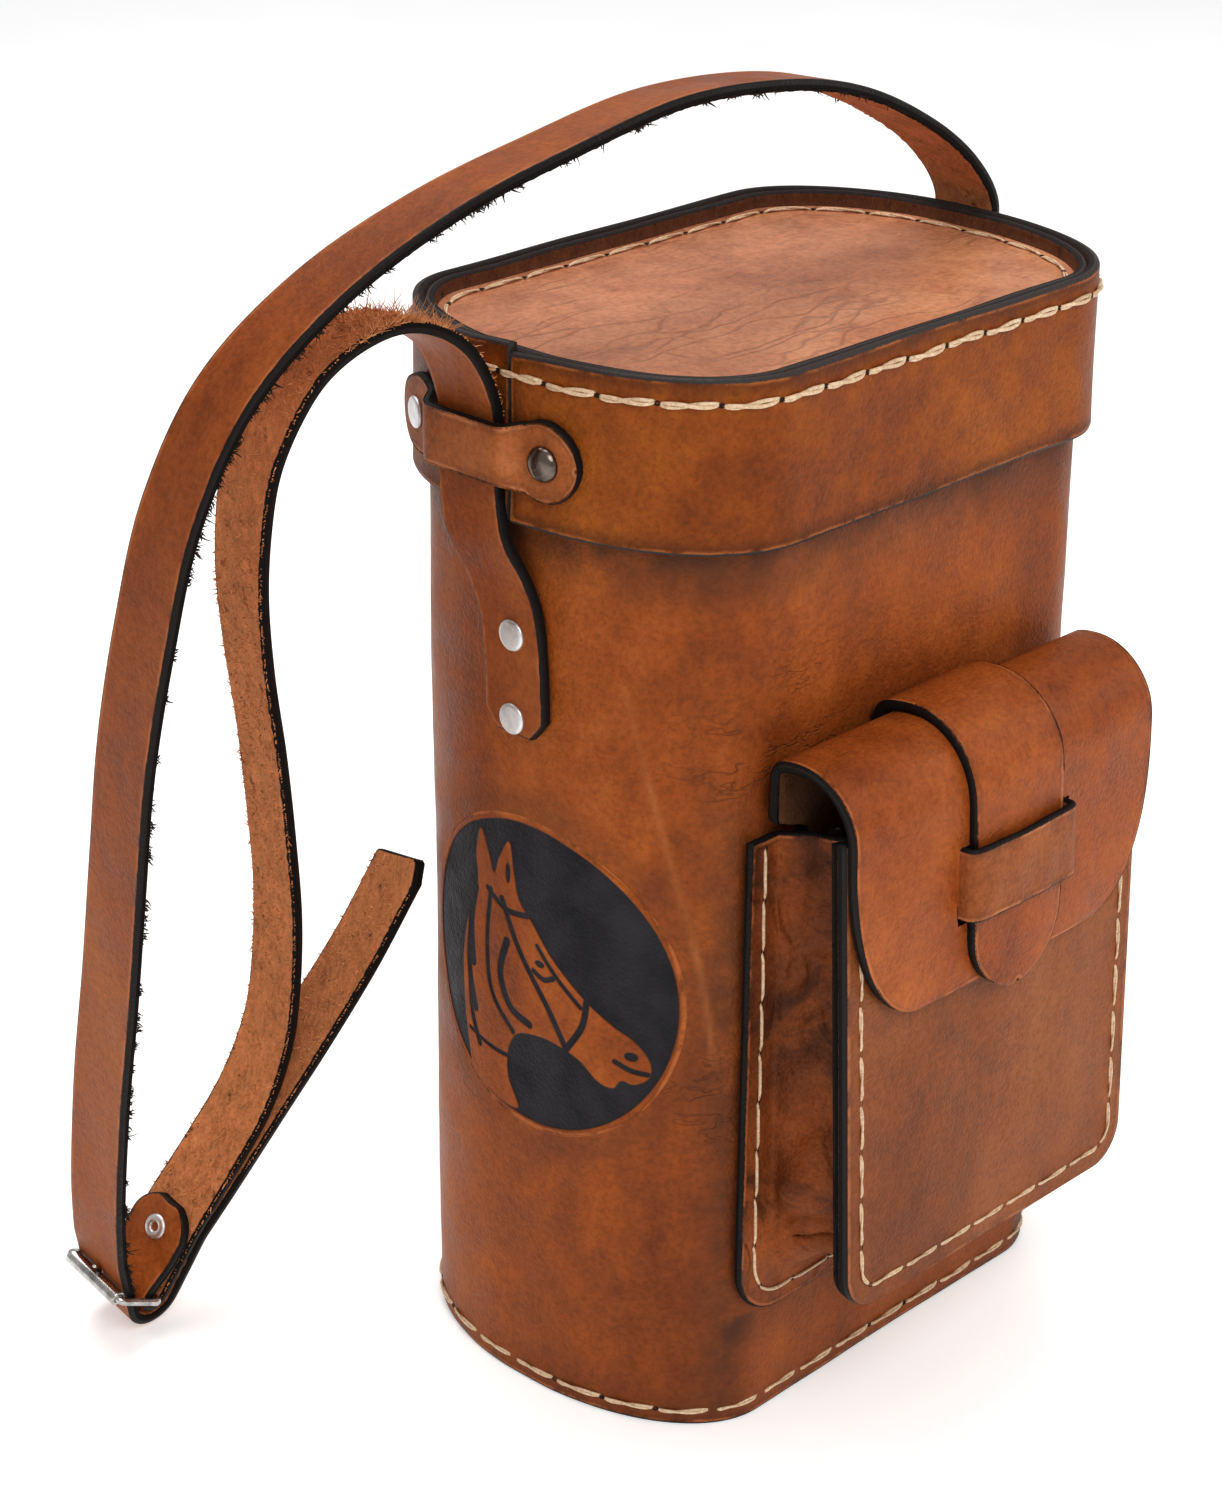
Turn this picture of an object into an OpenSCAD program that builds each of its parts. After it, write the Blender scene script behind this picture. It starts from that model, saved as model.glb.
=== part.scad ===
// Leather carrying case for a one-litre flask and its cup: a deep slip-over lid, a pouch
// with a flap and a loop-and-tongue closure, and a shoulder strap with a roller buckle.
// Frame: origin at the centre of the base, +Z up. The pouch is on the -Y face and the
// tooled round is on the -X end. All sizes are in millimetres.

/* [Case] */
// Length of the case, outside the two end walls
case_l = 202; // [196:1:214]
// Depth of the case, outside the front and back walls
case_d = 130; // [126:1:136]
// Height of the lid's rim above the base
case_h = 340; // [330:1:350]
// Thickness of the wall leather
wall_t = 3.5; // [3:0.1:3.8]
// Reach of a rounded corner along the length of the case
corner_x = 38; // [34:1:42]
// Reach of a rounded corner along the depth of the case
corner_y = 60; // [54:1:62]
// Thickness of the base and of the lid's top panel
panel_t = 4; // [3:0.5:5]

/* [Lid] */
// Height of the lid's wall
lid_h = 50; // [40:1:60]
// Slip gap between the case wall and the lid wall
lid_gap = 0.8; // [0.5:0.1:1.2]
// Depth of the top panel below the rim
panel_drop = 6; // [4:0.5:8]

/* [Pouch] */
// Width of the pouch's back flange
flange_w = 150; // [144:1:152]
// Width of the pouch front at its top
pouch_w = 139; // [136:1:143]
// Bottom of the pouch's back flange
back_z0 = 38; // [34:1:42]
// Top of the pouch's back flange
back_z1 = 201; // [196:1:205]
// Bottom of the pouch front
front_z0 = 54; // [50:1:58]
// Top of the pouch front
front_z1 = 209; // [206:1:210]
// Depth of the pouch at its top, case wall to outer face
pouch_d = 33; // [31:0.5:33]
// How much further the pouch stands out at its bottom than at its top
pouch_lean = 6; // [4:0.5:6.5]
// Width of the flap
flap_w = 140; // [132:1:140]
// Lower edge of the flap
flap_z0 = 150; // [146:1:156]
// Width of the closing tongue
tongue_w = 42; // [38:1:43]
// Lower end of the closing tongue
tongue_z0 = 145; // [140:1:150]
// Height of the loop that the tongue goes under
loop_h = 23; // [18:1:24]

/* [Strap] */
// Width of the shoulder strap
strap_w = 24; // [22:0.5:24.5]
// Thickness of the shoulder strap
strap_t = 3.6; // [3:0.1:3.8]
// Radius of the lobes of the keepers on the lid
keeper_r = 12; // [11:0.5:12.5]

/* [Hidden] */
$fn = 48;
EPS = 0.02;

TAN = "#a5612f";
TAN_DARK = "#8a4b26";
TAN_LIGHT = "#bd7a48";
SUEDE = "#7d4526";
THREAD = "#e2cba6";
STEEL = "#c9ccd0";
DARK_STEEL = "#6a5d55";

// Case plan
mid_x = case_l / 2 - corner_x;
mid_y = case_d / 2 - corner_y;
corner_steps = 12;
lid_in = lid_gap;
lid_out = lid_gap + wall_t;
lid_z0 = case_h - lid_h;
panel_z1 = case_h - panel_drop;
wall_z1 = panel_z1 - panel_t;
well_in = -wall_t;

// Stitching
thread_t = 1;
thread_h = 1.6;
thread_lift = 0.3;
stitch_pitch = 17.5;
stitch_share = 0.8;

// Divider
divider_x = 20;
divider_t = 3;
divider_z1 = 210;
divider_flange = 16;

// Pouch
pouch_y = -case_d / 2;
front_y = pouch_y - pouch_d;
front_t = 3.5;
front_taper = 2;
lean_a = -atan(pouch_lean / (front_z1 - front_z0));
gusset_t = 3;
gusset_back_w = flange_w - 24;
gusset_front_w = pouch_w - 22;
gusset_back_z0 = back_z0 + 12;
gusset_front_z0 = front_z0 + 12;
flange_r = 18;
front_r = 13;

// Closure
flap_t = 3.4;
leaf_gap = 0.3;
hinge_y = pouch_y - 8;
hinge_z = 226;
flap_y = front_y - 2.8;
flap_bend = 20;
leaf_rise = 1;
leaf_step = flap_t + leaf_gap;
loop_t = 2.6;
loop_z0 = 172;
loop_y = flap_y - leaf_step - flap_t / 2 - 0.5 - loop_t / 2;
loop_x = tongue_w / 2 + 3;
loop_foot = 12;
slit_gap = 0.3;
root_z0 = 186;
root_w = 114;
root_rivet_z = 194;
root_rivet_x = [-45, 0, 45];

// Rivets
head_r = 4.8;
dome_r = 5.2;
head_t = 1.2;
shank_r = 2;
hole_r = 2.1;
washer_r = 4.2;
washer_t = 0.8;

// Strap tabs and keepers, all on the -X end and mirrored to the +X end
strap_y = 13;
strap_x = case_l / 2 + lid_out + 0.35 + strap_t / 2;
tab_x = case_l / 2 + 0.15 + strap_t / 2;
tab_rivet_z = [229, 255];
split_z = 310;
split_gap = 0.4;
keeper_z = 311;
keeper_t = 2.8;
keeper_rivet_y = [-15.5, 38.5];

// Strap routes: [x, y, z, tilt, yaw], where tilt and yaw turn the width direction, in
// degrees, up from the +Y axis and round towards +X
tab_route = [[-tab_x, -1, 224, 0, 0], [-tab_x, -0.8, 240, 0, 0], [-tab_x, 1, 259, 0, 0],
    [-tab_x - 1.2, 5, 271, 0, 0], [-strap_x, 10, 284, 0, 0], [-strap_x, 12.5, 296, 0, 0],
    [-strap_x, strap_y, split_z - split_gap, 0, 0]];
short_route = [[-strap_x, strap_y, split_z + split_gap, 0, 0],
    [-strap_x - 0.4, 13, 323, 0, 0],
    [-114, 14, 338, -2, 2], [-123, 16, 346, -6, 4], [-135, 18, 350, -6, 6],
    [-147, 21, 348, -3, 8], [-157, 26, 341, 2, 8], [-163, 31, 330, 6, 8],
    [-166, 37, 315, 9, 8], [-166, 42, 297, 10, 8], [-163, 48, 274, 12, 8],
    [-155, 56, 246, 14, 8], [-144, 65, 214, 14, 8], [-134, 74, 180, 14, 8],
    [-126, 82, 148, 14, 8], [-122, 89, 118, 14, 8], [-123, 93, 96, 14, 8],
    [-129, 98, 74, 14, 6], [-139, 104, 54, 14, 4], [-151, 108.5, 36, 14, 0]];
long_route = [[strap_x, strap_y, split_z + split_gap, 0, 0],
    [strap_x + 0.4, 12.5, 323, 0, 0], [111, 11, 339, 0, 0], [100, 11, 355, 0, 0], [80, 12, 370, -1, 0], [48, 12, 385, -2, 0],
    [10, 9, 394, -4, 0], [-37, 7, 397, -6, 2], [-81, 7, 391, -5, 4], [-121, 11, 381, -3, 6],
    [-155, 20, 363, 1, 6], [-181, 29, 338, 5, 5], [-196, 36, 306, 8, 4],
    [-202, 43, 270, 12, 3], [-203, 53, 231, 15, 3], [-200, 64, 190, 17, 2],
    [-196, 76, 148, 17, 1], [-192, 89, 105, 15, 0], [-187, 101, 62, 14, 0],
    [-182, 108.5, 36, 14, 0]];
tail_route = [[-148, 110, 31, 14, 4], [-135.5, 104, 50, 14, 8], [-123, 95, 74, 14, 12],
    [-112.5, 84, 99, 14, 16], [-102.5, 72, 127, 14, 18], [-95, 62, 153, 14, 18]];
route_steps = 4;

// Buckle: its own axes are X along the case, Y along the fixed bar, Z up the loop
buckle_at = [-166, 114, 14.2];
buckle_tilt = 14;
bar_r = 1.5;
arm_r = 1.3;
arm_y = strap_w / 2 + 0.35 + arm_r;
frame_l = 19;
frame_a = 151;
corner_swell = 0.2;
roller_r = 2.5;
roller_in = arm_r + 0.06;
roller_w = 2 * (arm_y - arm_r) - 0.5;
prong_r = 1.1;
prong_a = 140;
prong_l = 23;
prong_eye = bar_r + 0.07;
fold_r = bar_r + 0.25 + strap_t / 2;
turn_r = fold_r + strap_t + 1.4;
fold_a = 26;
fold_l = 30;
fold_pinch = 14;
fold_rivet_at = 20;
rivet_cap_r = 4.2;
rivet_cap_t = 1;

// ---------- plan curves and outlines ----------
function unit(v) = v / norm(v);
function ease(k) = k * k * (3 - 2 * k);
function last(list) = list[len(list) - 1];
function corner(t, off) =
    [mid_x + corner_x * cos(t), mid_y + corner_y * sin(t)]
    + off * unit([cos(t) / corner_x, sin(t) / corner_y]);
function quadrant(sx, sy, off, turn) =
    [for (i = [0 : corner_steps])
        let (t = 90 * (turn ? corner_steps - i : i) / corner_steps, p = corner(t, off))
        [sx * p[0], sy * p[1]]];
function plan(off) = concat(quadrant(1, 1, off, false), quadrant(-1, 1, off, true),
    quadrant(-1, -1, off, false), quadrant(1, -1, off, true));
function closed(points) = concat(points, [points[0]]);
function arc(centre, r, from, to, steps) =
    [for (i = [0 : steps])
        let (t = from + (to - from) * i / steps) centre + r * [cos(t), sin(t)]];
// A U open at the top, from the upper left round to the upper right, narrower below by taper
function u_path(half, z0, z1, r, taper = 0) = let (low = half - taper)
    concat([[-half, z1]], arc([-low + r, z0 + r], r, 180, 270, 6),
        arc([low - r, z0 + r], r, 270, 360, 6), [[half, z1]]);
// Both sides of a leather strip whose middle follows the path
function side(path, d) = [for (i = [0 : len(path) - 1])
    let (a = path[max(i - 1, 0)], b = path[min(i + 1, len(path) - 1)], t = unit(b - a))
    path[i] + d * [-t[1], t[0]]];
function reversed(list) = [for (i = [len(list) - 1 : -1 : 0]) list[i]];
function strip(path, t) = concat(side(path, t / 2), reversed(side(path, -t / 2)));

// ---------- points at a distance along a path ----------
function lengths(path) = [for (i = 0, s = 0; i < len(path);
    s = s + (i < len(path) - 1 ? norm(path[i + 1] - path[i]) : 0), i = i + 1) [s, i]];
function at(path, u) =
    let (i = min(floor(u), len(path) - 2)) path[i] + (u - i) * (path[i + 1] - path[i]);
module ring(outer, inner, h) {
    linear_extrude(h) difference() {
        polygon(plan(outer));
        polygon(plan(inner));
    }
}
// Threads between two paths that run side by side
module threads(inner, outer, pitch) {
    table = lengths(inner);
    total = last(table)[0];
    count = round(total / pitch);
    for (i = [0 : count - 1]) {
        u = [for (k = [0 : 4]) lookup(total * (i + 0.1 + stitch_share * k / 4) / count, table)];
        polygon(concat([for (k = [0 : 4]) at(inner, u[k])],
            [for (k = [4 : -1 : 0]) at(outer, u[k])]));
    }
}
// Draws a shape given in X and Z on the plane at y, growing towards -Y
module on_front(y, t) {
    translate([0, y, 0]) rotate([90, 0, 0]) linear_extrude(t) children();
}
// Draws a profile given in Y and Z, w wide and centred on X
module across(w) {
    rotate([90, 0, 90]) translate([0, 0, -w / 2]) linear_extrude(w) children();
}

// ---------- swept strap ----------
function spline(a, b, c, d, t) = 0.5 * ((2 * b) + (c - a) * t
    + (2 * a - 5 * b + 4 * c - d) * t * t + (3 * b - a - 3 * c + d) * t * t * t);
function smooth(route) = concat(
    [for (i = [0 : len(route) - 2], k = [0 : route_steps - 1])
        spline(route[max(i - 1, 0)], route[i], route[i + 1],
            route[min(i + 2, len(route) - 1)], k / route_steps)], [last(route)]);
function place(p) = [p[0], p[1], p[2]];
function ring_at(path, i) =
    let (t = unit(place(path[min(i + 1, len(path) - 1)]) - place(path[max(i - 1, 0)])),
        lean = [sin(path[i][4]) * cos(path[i][3]), cos(path[i][4]) * cos(path[i][3]),
            sin(path[i][3])],
        w = unit(lean - (lean * t) * t) * strap_w / 2,
        n = unit(cross(w, t)) * strap_t / 2,
        p = place(path[i]))
    [p + w + n, p - w + n, p - w - n, p + w - n];
module sweep(path) {
    last_ring = len(path) - 1;
    points = [for (i = [0 : last_ring]) each ring_at(path, i)];
    sides = [for (i = [0 : last_ring - 1], k = [0 : 3])
        let (a = 4 * i + k, b = 4 * i + (k + 1) % 4) each [[a, a + 4, b], [b, a + 4, b + 4]]];
    caps = [[0, 1, 2, 3], [for (k = [3 : -1 : 0]) 4 * last_ring + k]];
    polyhedron(points, concat(sides, caps));
}
// A turn about the buckle's fixed bar, as route points
function buckle_point(p, q) = buckle_at
    + [p, -q * sin(buckle_tilt), q * cos(buckle_tilt)];
function turn(r, from, to, steps) = [for (i = [0 : steps])
    let (t = from + (to - from) * i / steps, c = buckle_point(r * cos(t), r * sin(t)))
    [c[0], c[1], c[2], buckle_tilt, 0]];
module at_buckle() {
    translate(buckle_at) rotate([buckle_tilt, 0, 0]) children();
}

// ---------- rivets and the holes for them ----------
module head(dome) {
    if (dome) {
        rotate_extrude() intersection() {
            translate([0, -dome_r * 0.75]) circle(dome_r * 1.25);
            square([dome_r, dome_r]);
        }
    } else {
        rotate_extrude() polygon([[0, 0], [head_r, 0], [head_r, head_t * 0.5],
            [head_r - 0.6, head_t], [0, head_t]]);
    }
}
// A rivet along Z that holds a stack from z = 0 up to grip
module rivet(grip) {
    translate([0, 0, grip]) head(false);
    cylinder(r = shank_r, h = grip);
    translate([0, 0, -washer_t]) cylinder(r = washer_r, h = washer_t);
}
module hole(depth) {
    translate([0, 0, -depth]) cylinder(r = hole_r, h = 2 * depth);
}
// Points along the outward normal of the -X end at height z
module end_axis(off, y, z) {
    t = asin(max((abs(y) - mid_y) / corner_y, 0));
    p = corner(t, off);
    n = unit([cos(t) / corner_x, sin(t) / corner_y]);
    translate([-p[0], y + sign(y) * off * n[1], z]) rotate([0, -90, 0])
        rotate([y > 0 ? -atan2(n[1], n[0]) : atan2(n[1], n[0]), 0, 0]) children();
}
module tab_holes() {
    for (z = tab_rivet_z) translate([-case_l / 2, 0, z]) rotate([0, -90, 0]) hole(10);
}
module keeper_holes() {
    for (y = keeper_rivet_y) end_axis(lid_out, y, keeper_z) hole(6);
}
module both_ends() {
    children();
    mirror([1, 0, 0]) children();
}

// ---------- case ----------
module body_wall() {
    color(TAN) difference() {
        ring(0, well_in, wall_z1);
        both_ends() tab_holes();
        root_holes();
    }
}
module base_panel() {
    color(TAN_DARK) linear_extrude(panel_t) polygon(plan(well_in));
}
module base_stitching() {
    color(THREAD) translate([0, 0, 4]) linear_extrude(thread_h)
        threads(closed(plan(thread_lift)), closed(plan(thread_lift + thread_t)), stitch_pitch);
}
module divider() {
    reach = case_d / 2 - wall_t - 0.3;
    color(TAN_LIGHT) translate([divider_x, 0, panel_t]) {
        translate([0, -reach, 0]) cube([divider_t, 2 * reach, divider_z1 - panel_t]);
        for (y = [-reach, reach - divider_t])
            translate([divider_t, y, 0]) cube([divider_flange, divider_t, divider_z1 - panel_t]);
    }
}

// ---------- pouch ----------
// Leans the pouch front and its closure outwards below the top of the pouch
module leaning() {
    translate([0, front_y, front_z1]) rotate([lean_a, 0, 0])
        translate([0, -front_y, -front_z1]) children();
}
module flange(outer, hole) {
    difference() {
        polygon(outer);
        polygon(hole);
    }
}
function gusset_u(w, z0, z1, inset) =
    u_path(w / 2 - inset, z0 + inset, z1, 12 - inset, front_taper);
module pouch_gusset() {
    rear_y = pouch_y - 1;
    inner_y = front_y + front_t + 1;
    rear = concat(gusset_u(gusset_back_w, gusset_back_z0, back_z1, 0),
        reversed(gusset_u(gusset_back_w, gusset_back_z0, back_z1, gusset_t)));
    fore = concat(gusset_u(gusset_front_w, gusset_front_z0, front_z1, 0),
        reversed(gusset_u(gusset_front_w, gusset_front_z0, front_z1, gusset_t)));
    m = len(rear);
    n = m / 2;
    points = concat([for (p = rear) [p[0], rear_y, p[1]]],
        [for (p = fore) [p[0], inner_y + (front_z1 - p[1]) * tan(lean_a), p[1]]]);
    skin = [for (i = [0 : m - 1]) let (j = (i + 1) % m)
        each [[i, i + m, j], [j, i + m, j + m]]];
    rear_cap = [for (i = [0 : n - 2]) let (c = m - 2 - i, d = m - 1 - i)
        each [[i, i + 1, d], [i + 1, c, d]]];
    fore_cap = [for (t = rear_cap) [t[0] + m, t[2] + m, t[1] + m]];
    color(SUEDE) {
        on_front(pouch_y - EPS, gusset_t) flange(
            u_path(flange_w / 2, back_z0, back_z1, flange_r),
            gusset_u(gusset_back_w, gusset_back_z0, back_z1 + 1, gusset_t));
        leaning() on_front(front_y + front_t + gusset_t, gusset_t) flange(
            u_path(pouch_w / 2, front_z0, front_z1, front_r, front_taper),
            gusset_u(gusset_front_w, gusset_front_z0, front_z1 + 1, gusset_t));
        polyhedron(points, concat(skin, rear_cap, fore_cap));
    }
}
module pouch_front() {
    slit = loop_t + 2 * slit_gap;
    color(TAN) leaning() difference() {
        on_front(front_y + front_t, front_t)
            polygon(u_path(pouch_w / 2, front_z0, front_z1, front_r, front_taper));
        for (x = [-loop_x, loop_x])
            translate([x - slit / 2, front_y - 1, loop_z0 - slit_gap])
                cube([slit, front_t + 2, loop_h + 2 * slit_gap]);
    }
}
module u_threads(y, half, z0, z1, r, taper) {
    on_front(y, thread_t) threads(u_path(half, z0, z1, r, taper),
        u_path(half - 1.4, z0 + 1.4, z1, r - 1.4, taper), 16.5);
}
module pouch_front_stitching() {
    color(THREAD) leaning() u_threads(front_y - EPS, pouch_w / 2 - 6, front_z0 + 6,
        front_z1 - 4, 9, front_taper);
}
module pouch_flange_stitching() {
    color(THREAD) u_threads(pouch_y - gusset_t - 2 * EPS, flange_w / 2 - 6, back_z0 + 6,
        back_z1 - 4, 13, 0);
}
// The loop's feet lie inside the pouch, and its legs pass through slits in the pouch front
module pouch_loop() {
    foot_y = front_y + front_t + EPS;
    front = loop_y - loop_t / 2;
    outer = loop_x + loop_t / 2;
    color(TAN_LIGHT) leaning() translate([0, 0, loop_z0]) linear_extrude(loop_h) {
        translate([-outer, front]) square([2 * outer, loop_t]);
        for (x = [-loop_x, loop_x]) translate([x - loop_t / 2, front])
            square([loop_t, foot_y + loop_t - front]);
        translate([loop_x - loop_t / 2, foot_y]) square([loop_foot, loop_t]);
        translate([-loop_x - loop_foot + loop_t / 2, foot_y]) square([loop_foot, loop_t]);
    }
}
// A low tubular rivet for the tight space under the flap
module cap_rivet(grip) {
    translate([0, 0, grip]) cylinder(r = 4, h = 0.8);
    cylinder(r = shank_r, h = grip);
    translate([0, 0, -washer_t]) cylinder(r = washer_r, h = washer_t);
}
// Middle line of the flap, or of the tongue when lift is leaf_step
function leaf_path(lift, z0) = let (c = [flap_y + flap_bend, hinge_z + leaf_rise - flap_bend])
    concat([[hinge_y - 0.75, hinge_z + lift]], arc(c, flap_bend + lift, 90, 180, 12),
        [[flap_y - lift + (c[1] - z0) * tan(lean_a), z0]]);
module leaf(w, lift, z0, r) {
    intersection() {
        across(w) polygon(strip(leaf_path(lift, z0), flap_t));
        on_front(0, 200) hull() {
            for (x = [-1, 1]) translate([x * (w / 2 - r), z0 + r]) circle(r);
            translate([-w / 2, z0 + 2 * r]) square([w, 100]);
        }
    }
}
module pouch_flap() {
    window = loop_x + loop_t / 2 + 0.9;
    color(TAN) difference() {
        leaf(flap_w, 0, flap_z0, 22);
        leaning() translate([-window, flap_y - 10, loop_z0 - 1])
            cube([2 * window, 20, loop_h + 2]);
    }
}
module pouch_tongue() {
    color(TAN) leaf(tongue_w, leaf_step, tongue_z0, tongue_w / 2 - 1);
}
// Middle line of a root: up the wall, then over to where the moving leaf starts
function root_path(y, lift) = let (r = y - hinge_y - 0.3)
    concat([[y, root_z0]], arc([y - r, hinge_z + lift - r], r, 0, 90, 4),
        [[hinge_y - 0.3, hinge_z + lift]]);
module root_holes() {
    for (x = root_rivet_x) translate([x, pouch_y, root_rivet_z]) rotate([90, 0, 0]) hole(12);
}
module flap_root() {
    color(TAN) difference() {
        across(root_w) polygon(strip(root_path(pouch_y - 0.05 - 1.5 * leaf_step, 0),
            flap_t));
        root_holes();
    }
}
module tongue_root() {
    color(TAN) difference() {
        across(tongue_w) polygon(strip(root_path(pouch_y - 0.05 - flap_t / 2, leaf_step),
            flap_t));
        root_holes();
    }
}
module root_rivets() {
    grip = wall_t + 0.05 + 2 * leaf_step;
    color(STEEL) for (x = root_rivet_x) translate([x, pouch_y + wall_t, root_rivet_z])
        rotate([90, 0, 0]) cap_rivet(grip);
}

// ---------- strap tabs and their rivets ----------
module strap_tab_near() {
    color(TAN) difference() {
        sweep(smooth(tab_route));
        tab_holes();
    }
}
module strap_tab_far() {
    mirror([1, 0, 0]) strap_tab_near();
}
module tab_rivets_near() {
    color(STEEL) for (z = tab_rivet_z)
        translate([-case_l / 2 + wall_t, 0, z]) rotate([0, -90, 0])
            rivet(tab_x + strap_t / 2 - case_l / 2 + wall_t + 0.3);
}
module tab_rivets_far() {
    mirror([1, 0, 0]) tab_rivets_near();
}

// ---------- lid ----------
module lid_wall() {
    color(TAN) translate([0, 0, lid_z0]) difference() {
        ring(lid_out, lid_in, lid_h);
        translate([0, 0, -lid_z0]) both_ends() keeper_holes();
    }
}
module lid_panel() {
    color(TAN_LIGHT) translate([0, 0, wall_z1]) linear_extrude(panel_t) polygon(plan(lid_in));
}
module lid_outer_stitching() {
    inner = closed(plan(lid_out + thread_lift));
    outer = closed(plan(lid_out + thread_lift + thread_t));
    color(THREAD) translate([0, 0, case_h - 7.5]) linear_extrude(thread_h)
        threads(inner, outer, stitch_pitch);
}
module lid_panel_stitching() {
    color(THREAD) translate([0, 0, panel_z1 + EPS]) linear_extrude(thread_t)
        threads(closed(plan(lid_in - 6.6)), closed(plan(lid_in - 5.2)), stitch_pitch);
}
// 1 where the keeper arches over the strap, falling to 0 at its lobes
function keeper_arch(y) = let (d = abs(y - (keeper_rivet_y[0] + keeper_rivet_y[1]) / 2),
    k = min(max((d - strap_w / 2 - 2.2) / 6, 0), 1)) 1 - ease(k);
module keeper_near() {
    ends = [keeper_rivet_y[0] - keeper_r, keeper_rivet_y[1] + keeper_r];
    rows = 36;
    function wall_x(y, off) = abs(y) <= mid_y ? corner(0, off)[0]
        : corner(asin(min((abs(y) - mid_y) / (corner_y + off), 1)), off)[0];
    line = [for (i = [0 : rows]) let (y = ends[0] + (ends[1] - ends[0]) * i / rows)
        let (base = wall_x(y, lid_out + 0.25), top = strap_x + strap_t / 2 + 0.5)
        [-base - (top - base) * keeper_arch(y), y]];
    back = [for (p = reversed(line)) [p[0] - keeper_t, p[1]]];
    color(TAN_LIGHT) difference() {
        intersection() {
            translate([0, 0, keeper_z - keeper_r])
                linear_extrude(2 * keeper_r) polygon(concat(line, back));
            translate([-130, 0, 0]) rotate([90, 0, 90]) linear_extrude(60) union() {
                for (y = keeper_rivet_y) translate([y, keeper_z]) circle(keeper_r);
                translate([keeper_rivet_y[0], keeper_z - 9])
                    square([keeper_rivet_y[1] - keeper_rivet_y[0], 18]);
            }
        }
        keeper_holes();
    }
}
module keeper_far() {
    mirror([1, 0, 0]) keeper_near();
}
// The lid slips over the case wall, so these rivets end inside the lid's leather
module keeper_rivets_near() {
    grip = wall_t + 0.25 + keeper_t + 0.5;
    color(DARK_STEEL) for (i = [0, 1])
        end_axis(lid_in + 0.1, keeper_rivet_y[i], keeper_z) {
            translate([0, 0, grip]) head(i == 0);
            cylinder(r = shank_r, h = grip);
        }
}
module keeper_rivets_far() {
    mirror([1, 0, 0]) keeper_rivets_near();
}

// ---------- shoulder strap ----------
// A point on the middle of the fold's short leg, at the distance s from its tangent point
function fold_point(s) = let (gap = 2 * fold_r - strap_t - 0.3,
    lift = fold_r - gap * ease(min(s / fold_pinch, 1)))
    [s * sin(fold_a) - lift * cos(fold_a), s * cos(fold_a) + lift * sin(fold_a)];
module strap_short() {
    fold_leg = [for (s = [5 : 5 : fold_l]) let (f = fold_point(s), c = buckle_point(f[0], f[1]))
        [c[0], c[1], c[2], buckle_tilt, 0]];
    color(TAN) difference() {
        sweep(concat(smooth(short_route), turn(fold_r, -fold_a, -180 - fold_a, 8), fold_leg));
        at_buckle() translate([-16, -2.2, -9]) cube([24, 4.4, 18]);
        fold_rivet_axis() hole(9);
    }
}
// The rivet's own axes: Z out through the short leg, with z = 0 on that leg's outer face
module fold_rivet_axis() {
    f = fold_point(fold_rivet_at);
    at_buckle() translate([f[0], 0, f[1]]) rotate([0, fold_a - 90, 0])
        translate([0, 0, strap_t / 2]) children();
}
module fold_rivet() {
    color(STEEL) fold_rivet_axis() {
        translate([0, 0, -2 * strap_t]) cylinder(r = shank_r, h = 2 * strap_t + 0.2);
        translate([0, 0, 0.1]) difference() {
            cylinder(r = rivet_cap_r, h = rivet_cap_t);
            translate([0, 0, rivet_cap_t / 2]) cylinder(r = 1.5, h = rivet_cap_t);
        }
    }
}
module strap_long() {
    path = concat(smooth(long_route), turn(turn_r, 197, 360 - fold_a, 10), smooth(tail_route));
    color(TAN) difference() {
        sweep(path);
        at_buckle() rotate([0, -prong_a, 0]) hull() {
            for (z = [-1.4, 1.4]) translate([6, 0, z]) rotate([0, 90, 0]) cylinder(r = 2.2, h = 19);
        }
    }
}

// ---------- buckle ----------
module bar(from, to, r) {
    d = to - from;
    translate(from) rotate([0, acos(d[2] / norm(d)), atan2(d[1], d[0])])
        cylinder(r = r, h = norm(d));
}
front_bar = frame_l * [cos(frame_a), 0, sin(frame_a)];
module buckle_frame() {
    color(STEEL) at_buckle() {
        bar([0, -arm_y, 0], [0, arm_y, 0], bar_r);
        bar(front_bar + [0, -arm_y, 0], front_bar + [0, arm_y, 0], arm_r);
        for (y = [-arm_y, arm_y]) {
            bar([0, y, 0], front_bar + [0, y, 0], arm_r);
            translate([0, y, 0]) sphere(bar_r + corner_swell);
            translate(front_bar + [0, y, 0]) sphere(arm_r + corner_swell);
        }
    }
}
module buckle_roller() {
    color(STEEL) at_buckle() translate(front_bar) rotate([90, 0, 0]) difference() {
        cylinder(r = roller_r, h = roller_w, center = true);
        cylinder(r = roller_in, h = roller_w + 2, center = true);
    }
}
module buckle_prong() {
    color(STEEL) at_buckle() {
        difference() {
            rotate([90, 0, 0]) cylinder(r = prong_eye + 1, h = 3, center = true);
            rotate([90, 0, 0]) cylinder(r = prong_eye, h = 5, center = true);
        }
        rotate([0, -prong_a, 0]) translate([prong_eye + 0.4, 0, 0]) rotate([0, 90, 0])
            cylinder(r = prong_r, h = prong_l - prong_eye);
    }
}

body_wall();
base_panel();
base_stitching();
divider();
pouch_gusset();
pouch_front();
pouch_front_stitching();
pouch_flange_stitching();
pouch_loop();
flap_root();
tongue_root();
root_rivets();
strap_tab_near();
strap_tab_far();
tab_rivets_near();
tab_rivets_far();
lid_wall();
lid_panel();
lid_outer_stitching();
lid_panel_stitching();
keeper_near();
keeper_far();
keeper_rivets_near();
keeper_rivets_far();
strap_short();
strap_long();
fold_rivet();
buckle_frame();
buckle_roller();
buckle_prong();
pouch_flap();
pouch_tongue();
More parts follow.
